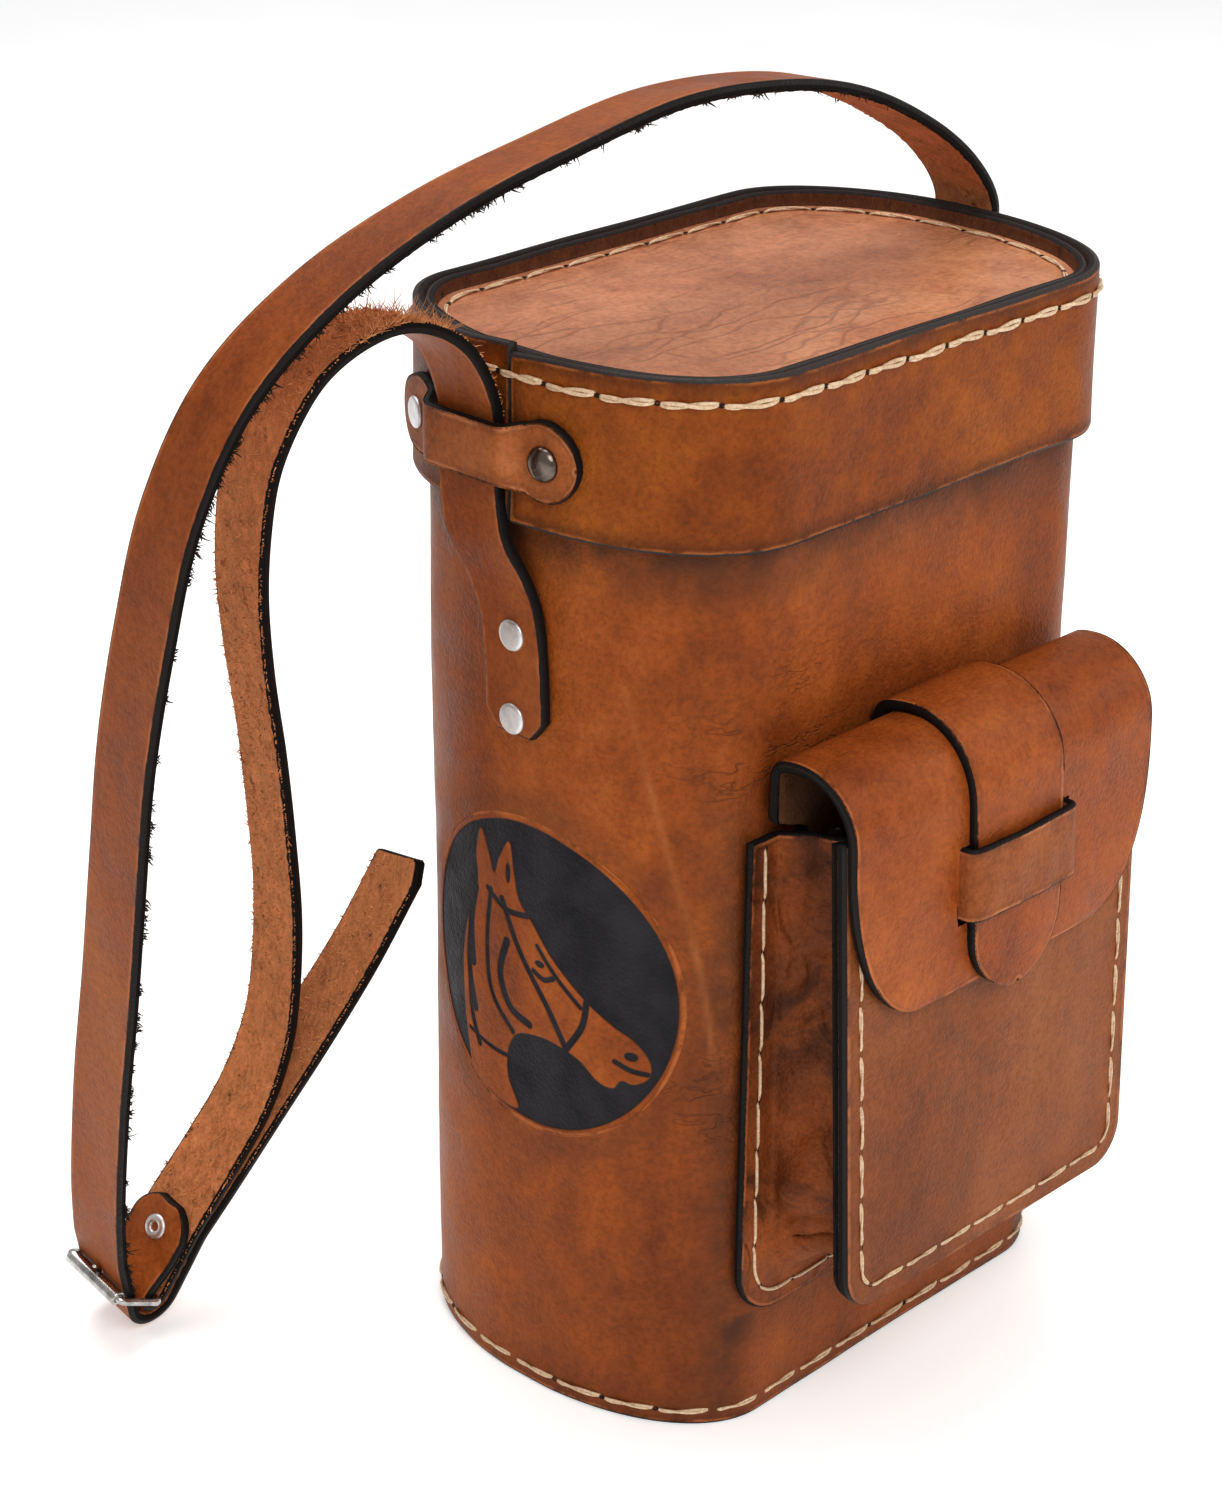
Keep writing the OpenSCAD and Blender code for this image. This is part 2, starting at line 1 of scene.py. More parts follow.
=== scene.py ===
"""A leather flask case with a slip-over lid, a pouch and a buckled shoulder strap."""
import math

import bpy
import numpy as np
from mathutils import Matrix, Vector


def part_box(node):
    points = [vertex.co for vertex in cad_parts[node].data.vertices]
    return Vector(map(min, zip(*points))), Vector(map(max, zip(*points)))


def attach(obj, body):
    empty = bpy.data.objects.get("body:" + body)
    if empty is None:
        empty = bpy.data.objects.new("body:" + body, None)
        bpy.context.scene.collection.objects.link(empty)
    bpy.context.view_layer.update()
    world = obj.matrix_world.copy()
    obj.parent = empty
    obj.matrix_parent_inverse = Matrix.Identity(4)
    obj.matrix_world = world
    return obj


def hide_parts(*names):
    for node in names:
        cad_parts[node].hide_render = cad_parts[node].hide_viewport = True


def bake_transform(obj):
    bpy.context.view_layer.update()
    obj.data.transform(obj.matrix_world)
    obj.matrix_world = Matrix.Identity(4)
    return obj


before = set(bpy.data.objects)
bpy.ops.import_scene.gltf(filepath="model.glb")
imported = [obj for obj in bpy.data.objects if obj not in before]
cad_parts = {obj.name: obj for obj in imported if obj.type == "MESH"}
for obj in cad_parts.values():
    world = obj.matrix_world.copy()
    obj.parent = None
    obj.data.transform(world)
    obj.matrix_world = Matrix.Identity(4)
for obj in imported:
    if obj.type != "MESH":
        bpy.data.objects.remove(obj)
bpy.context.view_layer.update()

# ---------- driving sizes, in millimetres, read from the frame ----------
MM = 0.001


def box_mm(node):
    """A CAD node's low and high corner."""
    low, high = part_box(node)
    return np.array(low) / MM, np.array(high) / MM


wall_low, wall_high = box_mm("body_wall")
lid_low, lid_high = box_mm("lid_wall")
flange_low, flange_high = box_mm("pouch_gusset")
front_low, front_high = box_mm("pouch_front")

CASE_L = wall_high[0] - wall_low[0]
CASE_D = wall_high[1] - wall_low[1]
WALL_Z1 = wall_high[2]
LID_Z0, LID_Z1 = lid_low[2], lid_high[2]
WALL_T = 3.5
CORNER_X, CORNER_Y = 38.0, 60.0
MID_X, MID_Y = CASE_L / 2 - CORNER_X, CASE_D / 2 - CORNER_Y
LID_IN = 0.8
LID_OUT = LID_IN + WALL_T
PANEL_Z1 = LID_Z1 - 6.0

POUCH_Y = -CASE_D / 2
POUCH_D = 33.0
FRONT_Y = POUCH_Y - POUCH_D
FRONT_T = 3.5
FRONT_Z0, FRONT_Z1 = 54.0, 209.0
BACK_Z0, BACK_Z1 = flange_low[2], 201.0
FLANGE_W = flange_high[0] - flange_low[0]
POUCH_W = front_high[0] - front_low[0]
TAPER = 2.0
LEAN = -math.atan(6.0 / (FRONT_Z1 - FRONT_Z0))

FLAP_W, FLAP_Z0, FLAP_T = 140.0, 150.0, 3.4
TONGUE_W, TONGUE_Z0 = 42.0, 145.0
HINGE_Y, HINGE_Z = POUCH_Y - 8, 226.0
FLAP_Y, FLAP_BEND, LEAF_STEP = FRONT_Y - 2.8, 20.0, 3.7
LOOP_H, LOOP_Z0, LOOP_T = 23.0, 172.0, 2.6
LOOP_X = TONGUE_W / 2 + 3
LOOP_Y = FLAP_Y - LEAF_STEP - FLAP_T / 2 - 0.5 - LOOP_T / 2

STRAP_W, STRAP_T, STRAP_Y = 24.0, 3.6, 13.0
STRAP_X = CASE_L / 2 + LID_OUT + 0.35 + STRAP_T / 2
TAB_X = CASE_L / 2 + 0.15 + STRAP_T / 2
TAB_RIVET_Z = (229.0, 255.0)
SPLIT_Z = 310.0
KEEPER_Z, KEEPER_R, KEEPER_T = 311.0, 12.0, 2.8
KEEPER_RIVET_Y = (-15.5, 38.5)

BUCKLE_AT = np.array([-166.0, 114.0, 14.2])
BUCKLE_TILT = math.radians(14)
BAR_R, ARM_R, ARM_Y = 1.5, 1.3, STRAP_W / 2 + 0.35 + 1.3
FRAME_L, FRAME_A = 19.0, math.radians(151)
ROLLER_R = 2.5
PRONG_A, PRONG_L = math.radians(140), 23.0
FOLD_R = BAR_R + 0.25 + STRAP_T / 2
TURN_R = FOLD_R + STRAP_T + 1.4
FOLD_A = math.radians(26)

# Spacing of a sheet's rows and columns, and pitches of the stitching
ROW = 1.6
PLAN_PITCH, POUCH_PITCH = 17.5, 16.5

# Medallion on the -X end: its middle along the wall and up it, and its radius
ROUND_Y, ROUND_Z, ROUND_R = -5.0, 145.0, 52.0


# ---------- small geometry helpers ----------
def unit(v):
    v = np.asarray(v, float)
    return v / np.maximum(np.linalg.norm(v, axis=-1, keepdims=True), 1e-9)


def ease(k):
    k = np.clip(k, 0, 1)
    return k * k * (3 - 2 * k)


def lengths(line):
    """Distance along a polyline at each of its points."""
    step = np.linalg.norm(np.diff(line, axis=0), axis=1)
    return np.concatenate([[0], np.cumsum(step)])


def in_3d(line):
    """A 2-D line with a third column of zeros."""
    return np.column_stack([line, np.zeros(len(line))])


def resample(line, s):
    """Points at the distances s along a polyline of any width."""
    at = lengths(line[:, :3])
    return np.stack([np.interp(s, at, line[:, k]) for k in range(line.shape[1])], 1)


def evenly(line, spacing):
    total = lengths(line[:, :3])[-1]
    return resample(line, np.linspace(0, total, max(2, int(round(total / spacing)) + 1)))


def smoothed(line, passes):
    """The same polyline with its kinks rounded, ends kept."""
    line = line.copy()
    for _ in range(passes):
        line[1:-1] = (line[:-2] + 2 * line[1:-1] + line[2:]) / 4
    return line


def wobble(p, size, seed):
    """A smooth random field of about -1 to 1 with features of the given size."""
    rng = np.random.default_rng(seed)
    total = 0
    for _ in range(7):
        direction = unit(rng.normal(size=3)) * rng.uniform(0.6, 1.5)
        total = total + np.sin(2 * np.pi * (p @ direction) / size + rng.uniform(0, 6.28))
    return total / 4


def spline(route, steps):
    """Catmull-Rom through the route's points, which may carry extra columns."""
    r = np.asarray(route, float)
    r = np.vstack([r[0], r, r[-1]])
    out = []
    for i in range(1, len(r) - 2):
        a, b, c, d = r[i - 1], r[i], r[i + 1], r[i + 2]
        for k in range(steps):
            t = k / steps
            out.append(0.5 * (2 * b + (c - a) * t + (2 * a - 5 * b + 4 * c - d) * t * t
                              + (3 * b - a - 3 * c + d) * t ** 3))
    out.append(r[-2])
    return np.array(out)


def crowded(count, bend):
    """Values from -1 to 1, closer together towards both ends as bend nears a quarter turn."""
    return np.sin(np.linspace(-1, 1, count) * bend) / math.sin(bend)


def arc(cx, cy, r, a0, a1, steps):
    t = np.radians(np.linspace(a0, a1, steps + 1))
    return np.stack([cx + r * np.cos(t), cy + r * np.sin(t)], 1)


def leaning(p):
    """Leans the pouch front and its closure outwards below the top of the pouch."""
    q = np.array(p, float)
    y, z = q[..., 1] - FRONT_Y, q[..., 2] - FRONT_Z1
    q[..., 1] = FRONT_Y + y * math.cos(LEAN) - z * math.sin(LEAN)
    q[..., 2] = FRONT_Z1 + y * math.sin(LEAN) + z * math.cos(LEAN)
    return q


class Plan:
    """The case's plan, grown by off: points, outward normals and distance round it."""

    def __init__(self, off, count=1600):
        quarter = np.radians(np.linspace(0, 90, 60))
        x, y = np.cos(quarter), np.sin(quarter)
        n = unit(np.stack([x / CORNER_X, y / CORNER_Y], 1))
        p = np.stack([MID_X + CORNER_X * x, MID_Y + CORNER_Y * y], 1) + off * n
        flip = np.array([-1.0, 1.0])
        points = np.vstack([p, (p * flip)[::-1], -p, (-p * flip)[::-1]])
        normals = np.vstack([n, (n * flip)[::-1], -n, (-n * flip)[::-1]])
        start = np.array([[CASE_L / 2 + off, 0.0]])
        points = np.vstack([start, points, start])
        normals = np.vstack([[[1.0, 0.0]], normals, [[1.0, 0.0]]])
        at = lengths(points)
        self.total = at[-1]
        s = np.linspace(0, self.total, count)
        self.s = s
        self.p = np.stack([np.interp(s, at, points[:, k]) for k in (0, 1)], 1)
        self.n = unit(np.stack([np.interp(s, at, normals[:, k]) for k in (0, 1)], 1))

    def at(self, s):
        s = np.mod(s, self.total)
        p = np.stack([np.interp(s, self.s, self.p[:, k]) for k in (0, 1)], -1)
        n = np.stack([np.interp(s, self.s, self.n[:, k]) for k in (0, 1)], -1)
        return p, unit(n)

    def wall(self, s, z, off=0.0):
        """3-D points on the upright wall and their outward normals."""
        p, n = self.at(s)
        p = p + n * np.asarray(off)[..., None]
        z = np.broadcast_to(z, p.shape[:-1])
        return (np.concatenate([p, z[..., None]], -1),
                np.concatenate([n, np.zeros_like(z)[..., None]], -1))


def distance_to_line(p, line, most=9.0):
    """Distance of each point from a 2-D polyline, no more than most."""
    best = np.full(p.shape[:-1], most)
    for start, end in zip(line[:-1], line[1:]):
        d = end - start
        t = np.clip(((p - start) @ d) / max(d @ d, 1e-12), 0, 1)
        best = np.minimum(best, np.linalg.norm(p - start - t[..., None] * d, axis=-1))
    return best


# ---------- meshes ----------
def new_object(name, verts, faces, materials, indices=None, fields=None):
    """A mesh object. materials are keys of MATERIALS, and fields are values at its points."""
    mesh = bpy.data.meshes.new(name)
    mesh.from_pydata((np.asarray(verts) * MM).tolist(), [], [list(map(int, f)) for f in faces])
    for material in materials:
        mesh.materials.append(MATERIALS[material])
    if indices is not None:
        mesh.polygons.foreach_set("material_index", np.asarray(indices, np.int32))
    mesh.polygons.foreach_set("use_smooth", np.ones(len(faces), bool))
    rest = mesh.attributes.new("rest", "FLOAT_VECTOR", "POINT")
    rest.data.foreach_set("vector", (np.asarray(verts) * MM).astype(np.float32).ravel())
    for key, values in (fields or {}).items():
        layer = mesh.attributes.new(key, "FLOAT", "POINT")
        layer.data.foreach_set("value", np.asarray(values, np.float32))
    mesh.update()
    obj = bpy.data.objects.new(name, mesh)
    bpy.context.scene.collection.objects.link(obj)
    return obj


def place(obj, body, nodes=(), blend=None):
    """Bakes a piece's place into its mesh when blend is given, else parents it to the body it moves with;
    hides the CAD nodes it stands for.
    """
    if blend:
        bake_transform(obj)
    else:
        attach(obj, body)
    if nodes:
        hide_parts(*nodes)
    return obj


def rim_distance(g, closed):
    """Distance of each point of a sheet from the sheet's nearest edge."""
    row = np.linalg.norm(np.diff(g, axis=0), axis=2)
    from_start = np.vstack([np.zeros(g.shape[1]), np.cumsum(row, 0)])
    rim = np.minimum(from_start, from_start[-1] - from_start)
    if closed:
        return rim
    col = np.linalg.norm(np.diff(g, axis=1), axis=2)
    from_left = np.hstack([np.zeros((g.shape[0], 1)), np.cumsum(col, 1)])
    return np.minimum(rim, np.minimum(from_left, from_left[:, -1:] - from_left))


def sheet_edges(m, n, closed):
    """The loops of point numbers round the edges of an m by n sheet."""
    if closed:
        return [np.arange(n), (m - 1) * n + np.arange(n)[::-1]]
    return [np.concatenate([np.arange(n - 1), np.arange(m - 1) * n + n - 1,
                            (m - 1) * n + np.arange(n - 1, 0, -1),
                            np.arange(m - 1, 0, -1) * n])]


def window_walls(cut, n, count):
    """Faces through a sheet's thickness round the cells that are cut out."""
    walls = []
    for i, j in zip(*np.nonzero(cut)):
        beside = (((-1, 0), (i, j), (i, j + 1)), ((1, 0), (i + 1, j + 1), (i + 1, j)),
                  ((0, -1), (i + 1, j), (i, j)), ((0, 1), (i, j + 1), (i + 1, j + 1)))
        for (di, dj), p, q in beside:
            if not cut[i + di, j + dj]:
                p, q = p[0] * n + p[1], q[0] * n + q[1]
                walls.append([p, q, q + count, p + count])
    return np.array(walls)


# The rounded edge's rings: how far in from the edge, and which face the height is from
EDGE_RINGS = ((0.29, -0.29), (0, -1), (-0.12, None), (0, 1), (0.29, 0.29))


def leather(name, grid, thick, material, side=1, closed=False, top=None, bottom=None,
            window=None, fields=None, bevel=0.28):
    """A closed sheet of leather whose middle is grid[i, j]. side=1 puts the grain where
    the i direction crossed with the j direction points. top and bottom are reliefs."""
    g = np.asarray(grid, float)
    m, n = g.shape[:2]
    di = np.gradient(g, axis=0)
    if closed:
        dj = (np.roll(g, -1, 1) - np.roll(g, 1, 1)) / 2
    else:
        dj = np.gradient(g, axis=1)
    normal = unit(np.cross(di, dj)) * side
    t = np.broadcast_to(thick, (m, n))
    r = bevel * float(np.max(t))
    out = np.zeros_like(g)
    out[0] -= unit(di[0])
    out[-1] += unit(di[-1])
    if not closed:
        out[:, 0] -= unit(dj[:, 0])
        out[:, -1] += unit(dj[:, -1])
    base = g - out * r
    up = base + normal * (t / 2 + (0 if top is None else top))[..., None]
    down = base - normal * (t / 2 + (0 if bottom is None else bottom))[..., None]

    rim = rim_distance(g, closed)
    last = n if closed else n - 1
    i, j = np.meshgrid(np.arange(m - 1), np.arange(last), indexing="ij")
    keep = np.ones(i.shape, bool)
    if window is not None:
        keep = ~window[: m - 1, : last]
        hidden = np.zeros((m, n), bool)
        for a, b in ((0, 0), (1, 0), (0, 1), (1, 1)):
            hidden[a : a + m - 1, b : b + last] |= ~keep
        rim = np.where(hidden, 0.0, rim)
    a = (i * n + j)[keep]
    b = ((i + 1) * n + j)[keep]
    c = ((i + 1) * n + (j + 1) % n)[keep]
    d = (i * n + (j + 1) % n)[keep]
    count = m * n
    faces = [np.stack([a, b, c, d], 1), np.stack([a, d, c, b], 1) + count]
    verts = [up.reshape(-1, 3), down.reshape(-1, 3)]
    rims = [rim.ravel(), rim.ravel()]
    sides = [np.ones(count), -np.ones(count)]
    index = [np.arange(count), np.arange(count)]

    total = 2 * count
    g1, n1, o1, t1 = (v.reshape(count, -1) for v in (g, normal, out, t))
    for loop in sheet_edges(m, n, closed):
        half = t1[loop] / 2
        rings = []
        for inset, height in EDGE_RINGS:
            if height is None:
                level = 0 * half
            elif height < 0:
                level = half + height * r
            else:
                level = -half + height * r
            rings.append(total)
            verts.append(g1[loop] - o1[loop] * r * inset + n1[loop] * level)
            rims.append(np.full(len(loop), -1.0))
            sides.append(np.full(len(loop), float(np.sign(level[0, 0]))))
            index.append(loop)
            total += len(loop)
        chain = [loop] + [np.arange(s, s + len(loop)) for s in rings] + [loop + count]
        for x, y in zip(chain[:-1], chain[1:]):
            faces.append(np.stack([x, np.roll(x, -1), np.roll(y, -1), y], 1))
    if window is not None:
        faces.append(window_walls(~keep, n, count))
    everything = np.vstack(faces)
    if side < 0:
        everything = everything[:, ::-1]
    index = np.concatenate(index)
    data = {"rim": np.concatenate(rims) * MM, "face": np.concatenate(sides)}
    for key, values in (fields or {}).items():
        data[key] = np.asarray(values, float).ravel()[index]
    return new_object(name, np.vstack(verts), everything, [material], fields=data)


def tube_arrays(centres, radii, ups, sides, start=0, closed=False):
    """Tubes along centres (tubes, rings, 3), with their vertices and faces as arrays."""
    c = np.asarray(centres, float)
    count, rings = c.shape[:2]
    tangent = unit(np.gradient(c, axis=1))
    if closed:
        tangent = unit(np.roll(c, -1, 1) - np.roll(c, 1, 1))
    across = unit(np.cross(tangent, ups))
    up = np.cross(across, tangent)
    angle = np.linspace(0, 2 * np.pi, sides, endpoint=False)
    ring = (across[:, :, None] * np.cos(angle)[:, None] + up[:, :, None] * np.sin(angle)[:, None])
    verts = c[:, :, None] + ring * np.asarray(radii)[..., None, None]
    k, i, j = np.meshgrid(np.arange(count), np.arange(rings if closed else rings - 1),
                          np.arange(sides), indexing="ij")
    base = start + k * rings * sides
    nxt = (i + 1) % rings
    faces = np.stack([base + i * sides + j, base + i * sides + (j + 1) % sides,
                      base + nxt * sides + (j + 1) % sides, base + nxt * sides + j], -1)
    faces = faces.reshape(-1, 4).tolist()
    if not closed:
        for q in range(count):
            b = start + q * rings * sides
            faces.append([b + x for x in range(sides - 1, -1, -1)])
            faces.append([b + (rings - 1) * sides + x for x in range(sides)])
    return verts.reshape(-1, 3), faces


def along(line, at, s):
    """Values of a line's three columns at the distances s along it."""
    return np.stack([np.interp(s, at, line[:, k]) for k in range(3)], -1)


def awl_holes(line, normals, at, spots, first):
    """A shallow cup at each spot, coloured near-black as painted shade inside the hole: vertices and
    faces, numbered from first.
    """
    sides, long, wide, proud, deep = 12, 1.0, 0.75, 0.06, 0.25
    spin = np.linspace(0, 2 * np.pi, sides, endpoint=False)
    verts, faces = [], []
    for spot in spots:
        p = along(line, at, spot)
        u = unit(along(normals, at, spot))
        t = unit(along(line, at, min(spot + 1, at[-1])) - along(line, at, max(spot - 1, 0)))
        w = np.cross(u, t)
        ring = [p + t * long * math.cos(a) + w * wide * math.sin(a) + u * proud for a in spin]
        verts.append(np.array(ring + [p - u * deep]))
        middle = first + sides
        faces += [[first + k, first + (k + 1) % sides, middle] for k in range(sides)]
        first += sides + 1
    return verts, faces


def stitches(name, line, normals, pitch, radius, strands, phase=0.0, slant=0.6):
    """Saddle stitching along a line on a surface, with the awl holes between the stitches."""
    at = lengths(line)
    total = at[-1]
    count = int(round(total / pitch))
    k = np.linspace(0, 1, 13)
    share = 0.97
    s = ((np.arange(count)[:, None] + phase + (1 - share) / 2 + share * k[None]) / count) * total
    s = np.clip(s, 0, total)
    centre = along(line, at, s)
    up = unit(along(normals, at, s))
    tangent = unit(np.gradient(centre, axis=1))
    sideways = np.cross(up, tangent)
    rng = np.random.default_rng(count)
    belly = np.sin(np.pi * k)[None] ** 0.6
    lift = radius * (1.15 * ease(7 * k) * ease(7 * (1 - k)) - 0.75)
    jitter = rng.normal(0, 0.12, (count, 1)) * belly
    thin = radius * (0.60 if strands > 1 else 1.0)
    radii = thin * (0.75 + 0.25 * belly) * np.ones((count, 1))
    verts, faces, start = [], [], 0
    for strand in range(strands):
        turn = np.pi * (strand + 1.1 * k[None] + rng.uniform(-0.15, 0.15, (count, 1)))
        spread = 0.85 * radius * belly if strands > 1 else 0 * belly
        offset = sideways * ((np.cos(turn) * spread + slant * (k - 0.5) + jitter)[..., None])
        height = lift[None] + np.sin(turn) * spread * 0.45
        v, f = tube_arrays(centre + offset + up * height[..., None], radii, up, 8, start)
        verts.append(v)
        faces += f
        start += len(v)
    spots = ((np.arange(count + 1) + phase) / count) * total
    cups, cup_faces = awl_holes(line, normals, at, spots[spots <= total + 1e-6], start)
    indices = [0] * len(faces) + [1] * len(cup_faces)
    slots = ["thread", "awl_hole"]
    return new_object(name, np.vstack(verts + cups), faces + cup_faces, slots, indices)


def lathe(profile, origin, axis, segments=40):
    """Vertices and faces of a turned piece: profile is its (radius, height) pairs."""
    axis = Vector(axis).normalized()
    turn = Vector((0, 0, 1)).rotation_difference(axis).to_matrix()
    spin = np.linspace(0, 2 * np.pi, segments, endpoint=False)
    pr = np.asarray(profile, float)
    ring = np.stack([pr[:, 0, None] * np.cos(spin), pr[:, 0, None] * np.sin(spin),
                     np.repeat(pr[:, 1, None], segments, 1)], -1)
    verts = ring.reshape(-1, 3) @ np.array(turn).T + np.asarray(origin)
    rows = len(pr)
    i, j = np.meshgrid(np.arange(rows - 1), np.arange(segments), indexing="ij")
    faces = np.stack([i * segments + j, i * segments + (j + 1) % segments,
                      (i + 1) * segments + (j + 1) % segments, (i + 1) * segments + j], -1)
    faces = faces.reshape(-1, 4).tolist()
    if pr[0, 0] > 0 and not np.allclose(pr[0], pr[-1]):
        faces.append(list(range(segments - 1, -1, -1)))
        faces.append([(rows - 1) * segments + x for x in range(segments)])
    return verts, faces


def join(name, parts, materials):
    """One object from several (verts, faces, material index) parts."""
    verts, faces, indices, start = [], [], [], 0
    for v, f, index in parts:
        verts.append(np.asarray(v))
        faces += [[x + start for x in face] for face in f]
        indices += [index] * len(f)
        start += len(v)
    return new_object(name, np.vstack(verts), faces, materials, indices)


# ---------- materials ----------
class Shader:
    """A material's nodes, added one by one and joined by their inputs."""

    def __init__(self, name):
        self.material = bpy.data.materials.new(name)
        self.material.use_nodes = True
        self.tree = self.material.node_tree
        self.tree.nodes.clear()
        self.output = self.tree.nodes.new("ShaderNodeOutputMaterial")

    def add(self, kind, inputs=None, **settings):
        node = self.tree.nodes.new("ShaderNode" + kind)
        for key, value in settings.items():
            setattr(node, key, value)
        for key, value in (inputs or {}).items():
            if isinstance(value, bpy.types.NodeSocket):
                self.tree.links.new(value, node.inputs[key])
            else:
                node.inputs[key].default_value = value
        return node

    def rest(self):
        return self.add("Attribute", attribute_name="rest").outputs["Vector"]

    def field(self, name):
        return self.add("Attribute", attribute_name=name).outputs["Fac"]

    def noise(self, vector, scale, detail=4, rough=0.55, distortion=0.0):
        return self.add("TexNoise", {"Vector": vector, "Scale": scale, "Detail": detail,
                                     "Roughness": rough, "Distortion": distortion}).outputs["Fac"]

    def stretch(self, vector, scale, turned=(0, 0, 0)):
        inputs = {"Vector": vector, "Scale": scale, "Rotation": turned}
        return self.add("Mapping", inputs).outputs["Vector"]

    def span(self, value, a, b, low=0.0, high=1.0):
        inputs = {"Value": value, "From Min": a, "From Max": b, "To Min": low, "To Max": high}
        return self.add("MapRange", inputs, interpolation_type="SMOOTHSTEP").outputs["Result"]

    def cells(self, vector, scale, feature="F1"):
        node = self.add("TexVoronoi", {"Vector": vector, "Scale": scale}, feature=feature)
        return node.outputs["Distance"]

    def math(self, operation, a, b=0.0):
        return self.add("Math", {0: a, 1: b}, operation=operation).outputs[0]

    def times(self, a, b):
        return self.math("MULTIPLY", a, b)

    def plus(self, a, b):
        return self.math("ADD", a, b)

    def ridge(self, value):
        """Distance of a noise value from its middle, which draws lines where it is near zero."""
        return self.math("ABSOLUTE", self.math("SUBTRACT", value, 0.5))

    def mix(self, factor, a, b, blend="MIX"):
        node = self.add("Mix", data_type="RGBA", blend_type=blend)
        for key, value in ((0, factor), (6, a), (7, b)):
            if isinstance(value, bpy.types.NodeSocket):
                self.tree.links.new(value, node.inputs[key])
            else:
                node.inputs[key].default_value = value if key == 0 else (*value, 1.0)
        return node.outputs[2]

    def ramp(self, value, stops):
        node = self.add("ValToRGB", {"Fac": value})
        ramp = node.color_ramp
        while len(ramp.elements) < len(stops):
            ramp.elements.new(0.5)
        for element, (position, colour) in zip(ramp.elements, stops):
            element.position = position
            element.color = (*colour, 1.0)
        return node.outputs["Color"]

    def bump(self, height, distance, strength=1.0, below=None):
        inputs = {"Height": height, "Distance": distance, "Strength": strength}
        if below is not None:
            inputs["Normal"] = below
        return self.add("Bump", inputs).outputs["Normal"]

    def finish(self, **sockets):
        names = {"colour": "Base Color", "rough": "Roughness", "normal": "Normal",
                 "metal": "Metallic", "specular": "Specular IOR Level", "coat": "Coat Weight",
                 "coat_rough": "Coat Roughness", "glow": "Emission Color",
                 "glow_strength": "Emission Strength"}
        surface = self.add("BsdfPrincipled", {names[k]: v for k, v in sockets.items()})
        self.tree.links.new(surface.outputs["BSDF"], self.output.inputs["Surface"])
        return self.material


BLACK_EDGE = (0.012, 0.009, 0.008)
EDGE_BAND = 0.00035
FLESH_ROUGH = 0.9


def tinted(colour, factor, lift=0.0):
    return tuple(min(1.0, factor * c + lift) for c in colour)


def flesh_side(s, rest, flesh):
    """The loose, fibrous inner side of the leather: its colour and its height."""
    strand = s.noise(s.stretch(rest, (1, 1, 0.45)), 620, 6, 0.8, 1.2)
    tuft = s.noise(rest, 130, 5, 0.7)
    nap = s.ramp(s.plus(s.times(strand, 0.6), s.times(tuft, 0.4)),
                 [(0.34, tinted(flesh, 0.42)), (0.46, flesh), (0.68, tinted(flesh, 1.6))])
    grit = s.cells(rest, 620.0)
    nap = s.mix(s.span(grit, 0.10, 0.0, 0.0, 0.75), nap, tinted(flesh, 1.9, 0.05))
    pits = s.span(s.noise(rest, 190, 3, 0.6), 0.36, 0.27)
    nap = s.mix(s.times(pits, 0.8), nap, tinted(flesh, 0.28))
    return nap, s.plus(strand, tuft)


def leather_material(name, light, mid, dark, flesh=(0.42, 0.19, 0.08), gloss=0.42, burnish=0.45,
                     pebble=0.5, streak=(1, 1, 0.35), edge=BLACK_EDGE, extra=None,
                     soft_edge=0.004, coat=0.02):
    """Tanned leather: mottled grain side, fibrous flesh side and dyed, burnished edges."""
    s = Shader(name)
    rest = s.rest()
    rim, face = s.field("rim"), s.field("face")
    cloud = s.noise(s.stretch(rest, streak), 16, 5, 0.6, 0.4)
    blotch = s.noise(rest, 70, 6, 0.65)
    speck = s.noise(rest, 520, 4, 0.7)
    pores = s.cells(rest, 850.0)
    mixed = s.plus(s.times(cloud, 0.62), s.times(blotch, 0.38))
    colour = s.ramp(mixed, [(0.34, dark), (0.5, mid), (0.66, light)])
    freckle = s.times(s.span(speck, 0.32, 0.62, 0.82, 1.08), s.span(pores, 0.02, 0.30, 0.84, 1.04))
    shade = s.add("CombineColor", {"Red": freckle, "Green": freckle, "Blue": freckle})
    colour = s.mix(1.0, colour, shade.outputs["Color"], "MULTIPLY")
    height = s.plus(s.times(pores, pebble), s.times(speck, 0.8))
    rough = s.span(blotch, 0.3, 0.7, gloss - 0.08, gloss + 0.12)
    if extra:
        colour, height, rough = extra(s, rest, colour, height, rough)

    fray = s.times(s.math("SUBTRACT", s.noise(rest, 260, 4, 0.7), 0.5), 0.0016)
    near = s.plus(rim, fray)
    colour = s.mix(s.span(near, 0.0002, soft_edge, burnish, 0.0), colour, tinted(dark, 0.32))
    # A light line just inside the edges: partly wear, partly a painted highlight along the rounded edge.
    worn = s.times(s.span(near, 0.0022, 0.0010), s.span(blotch, 0.40, 0.58, 0.0, 0.5))
    colour = s.mix(worn, colour, tinted(light, 1.5, 0.03))

    nap, deep = flesh_side(s, rest, flesh)
    on_flesh = s.span(face, 0.1, -0.1)
    colour = s.mix(on_flesh, colour, nap)
    colour = s.mix(s.span(near, EDGE_BAND, -EDGE_BAND), colour, edge)
    both = s.add("MapRange", {"Value": on_flesh, "To Min": rough, "To Max": FLESH_ROUGH})
    normal = s.bump(height, 0.00042, 0.8)
    normal = s.bump(s.times(deep, on_flesh), 0.0016, 0.8, normal)
    normal = s.bump(blotch, 0.0012, 0.25, normal)
    return s.finish(colour=colour, rough=both.outputs["Result"], normal=normal, specular=0.15,
                    coat=coat, coat_rough=0.35)


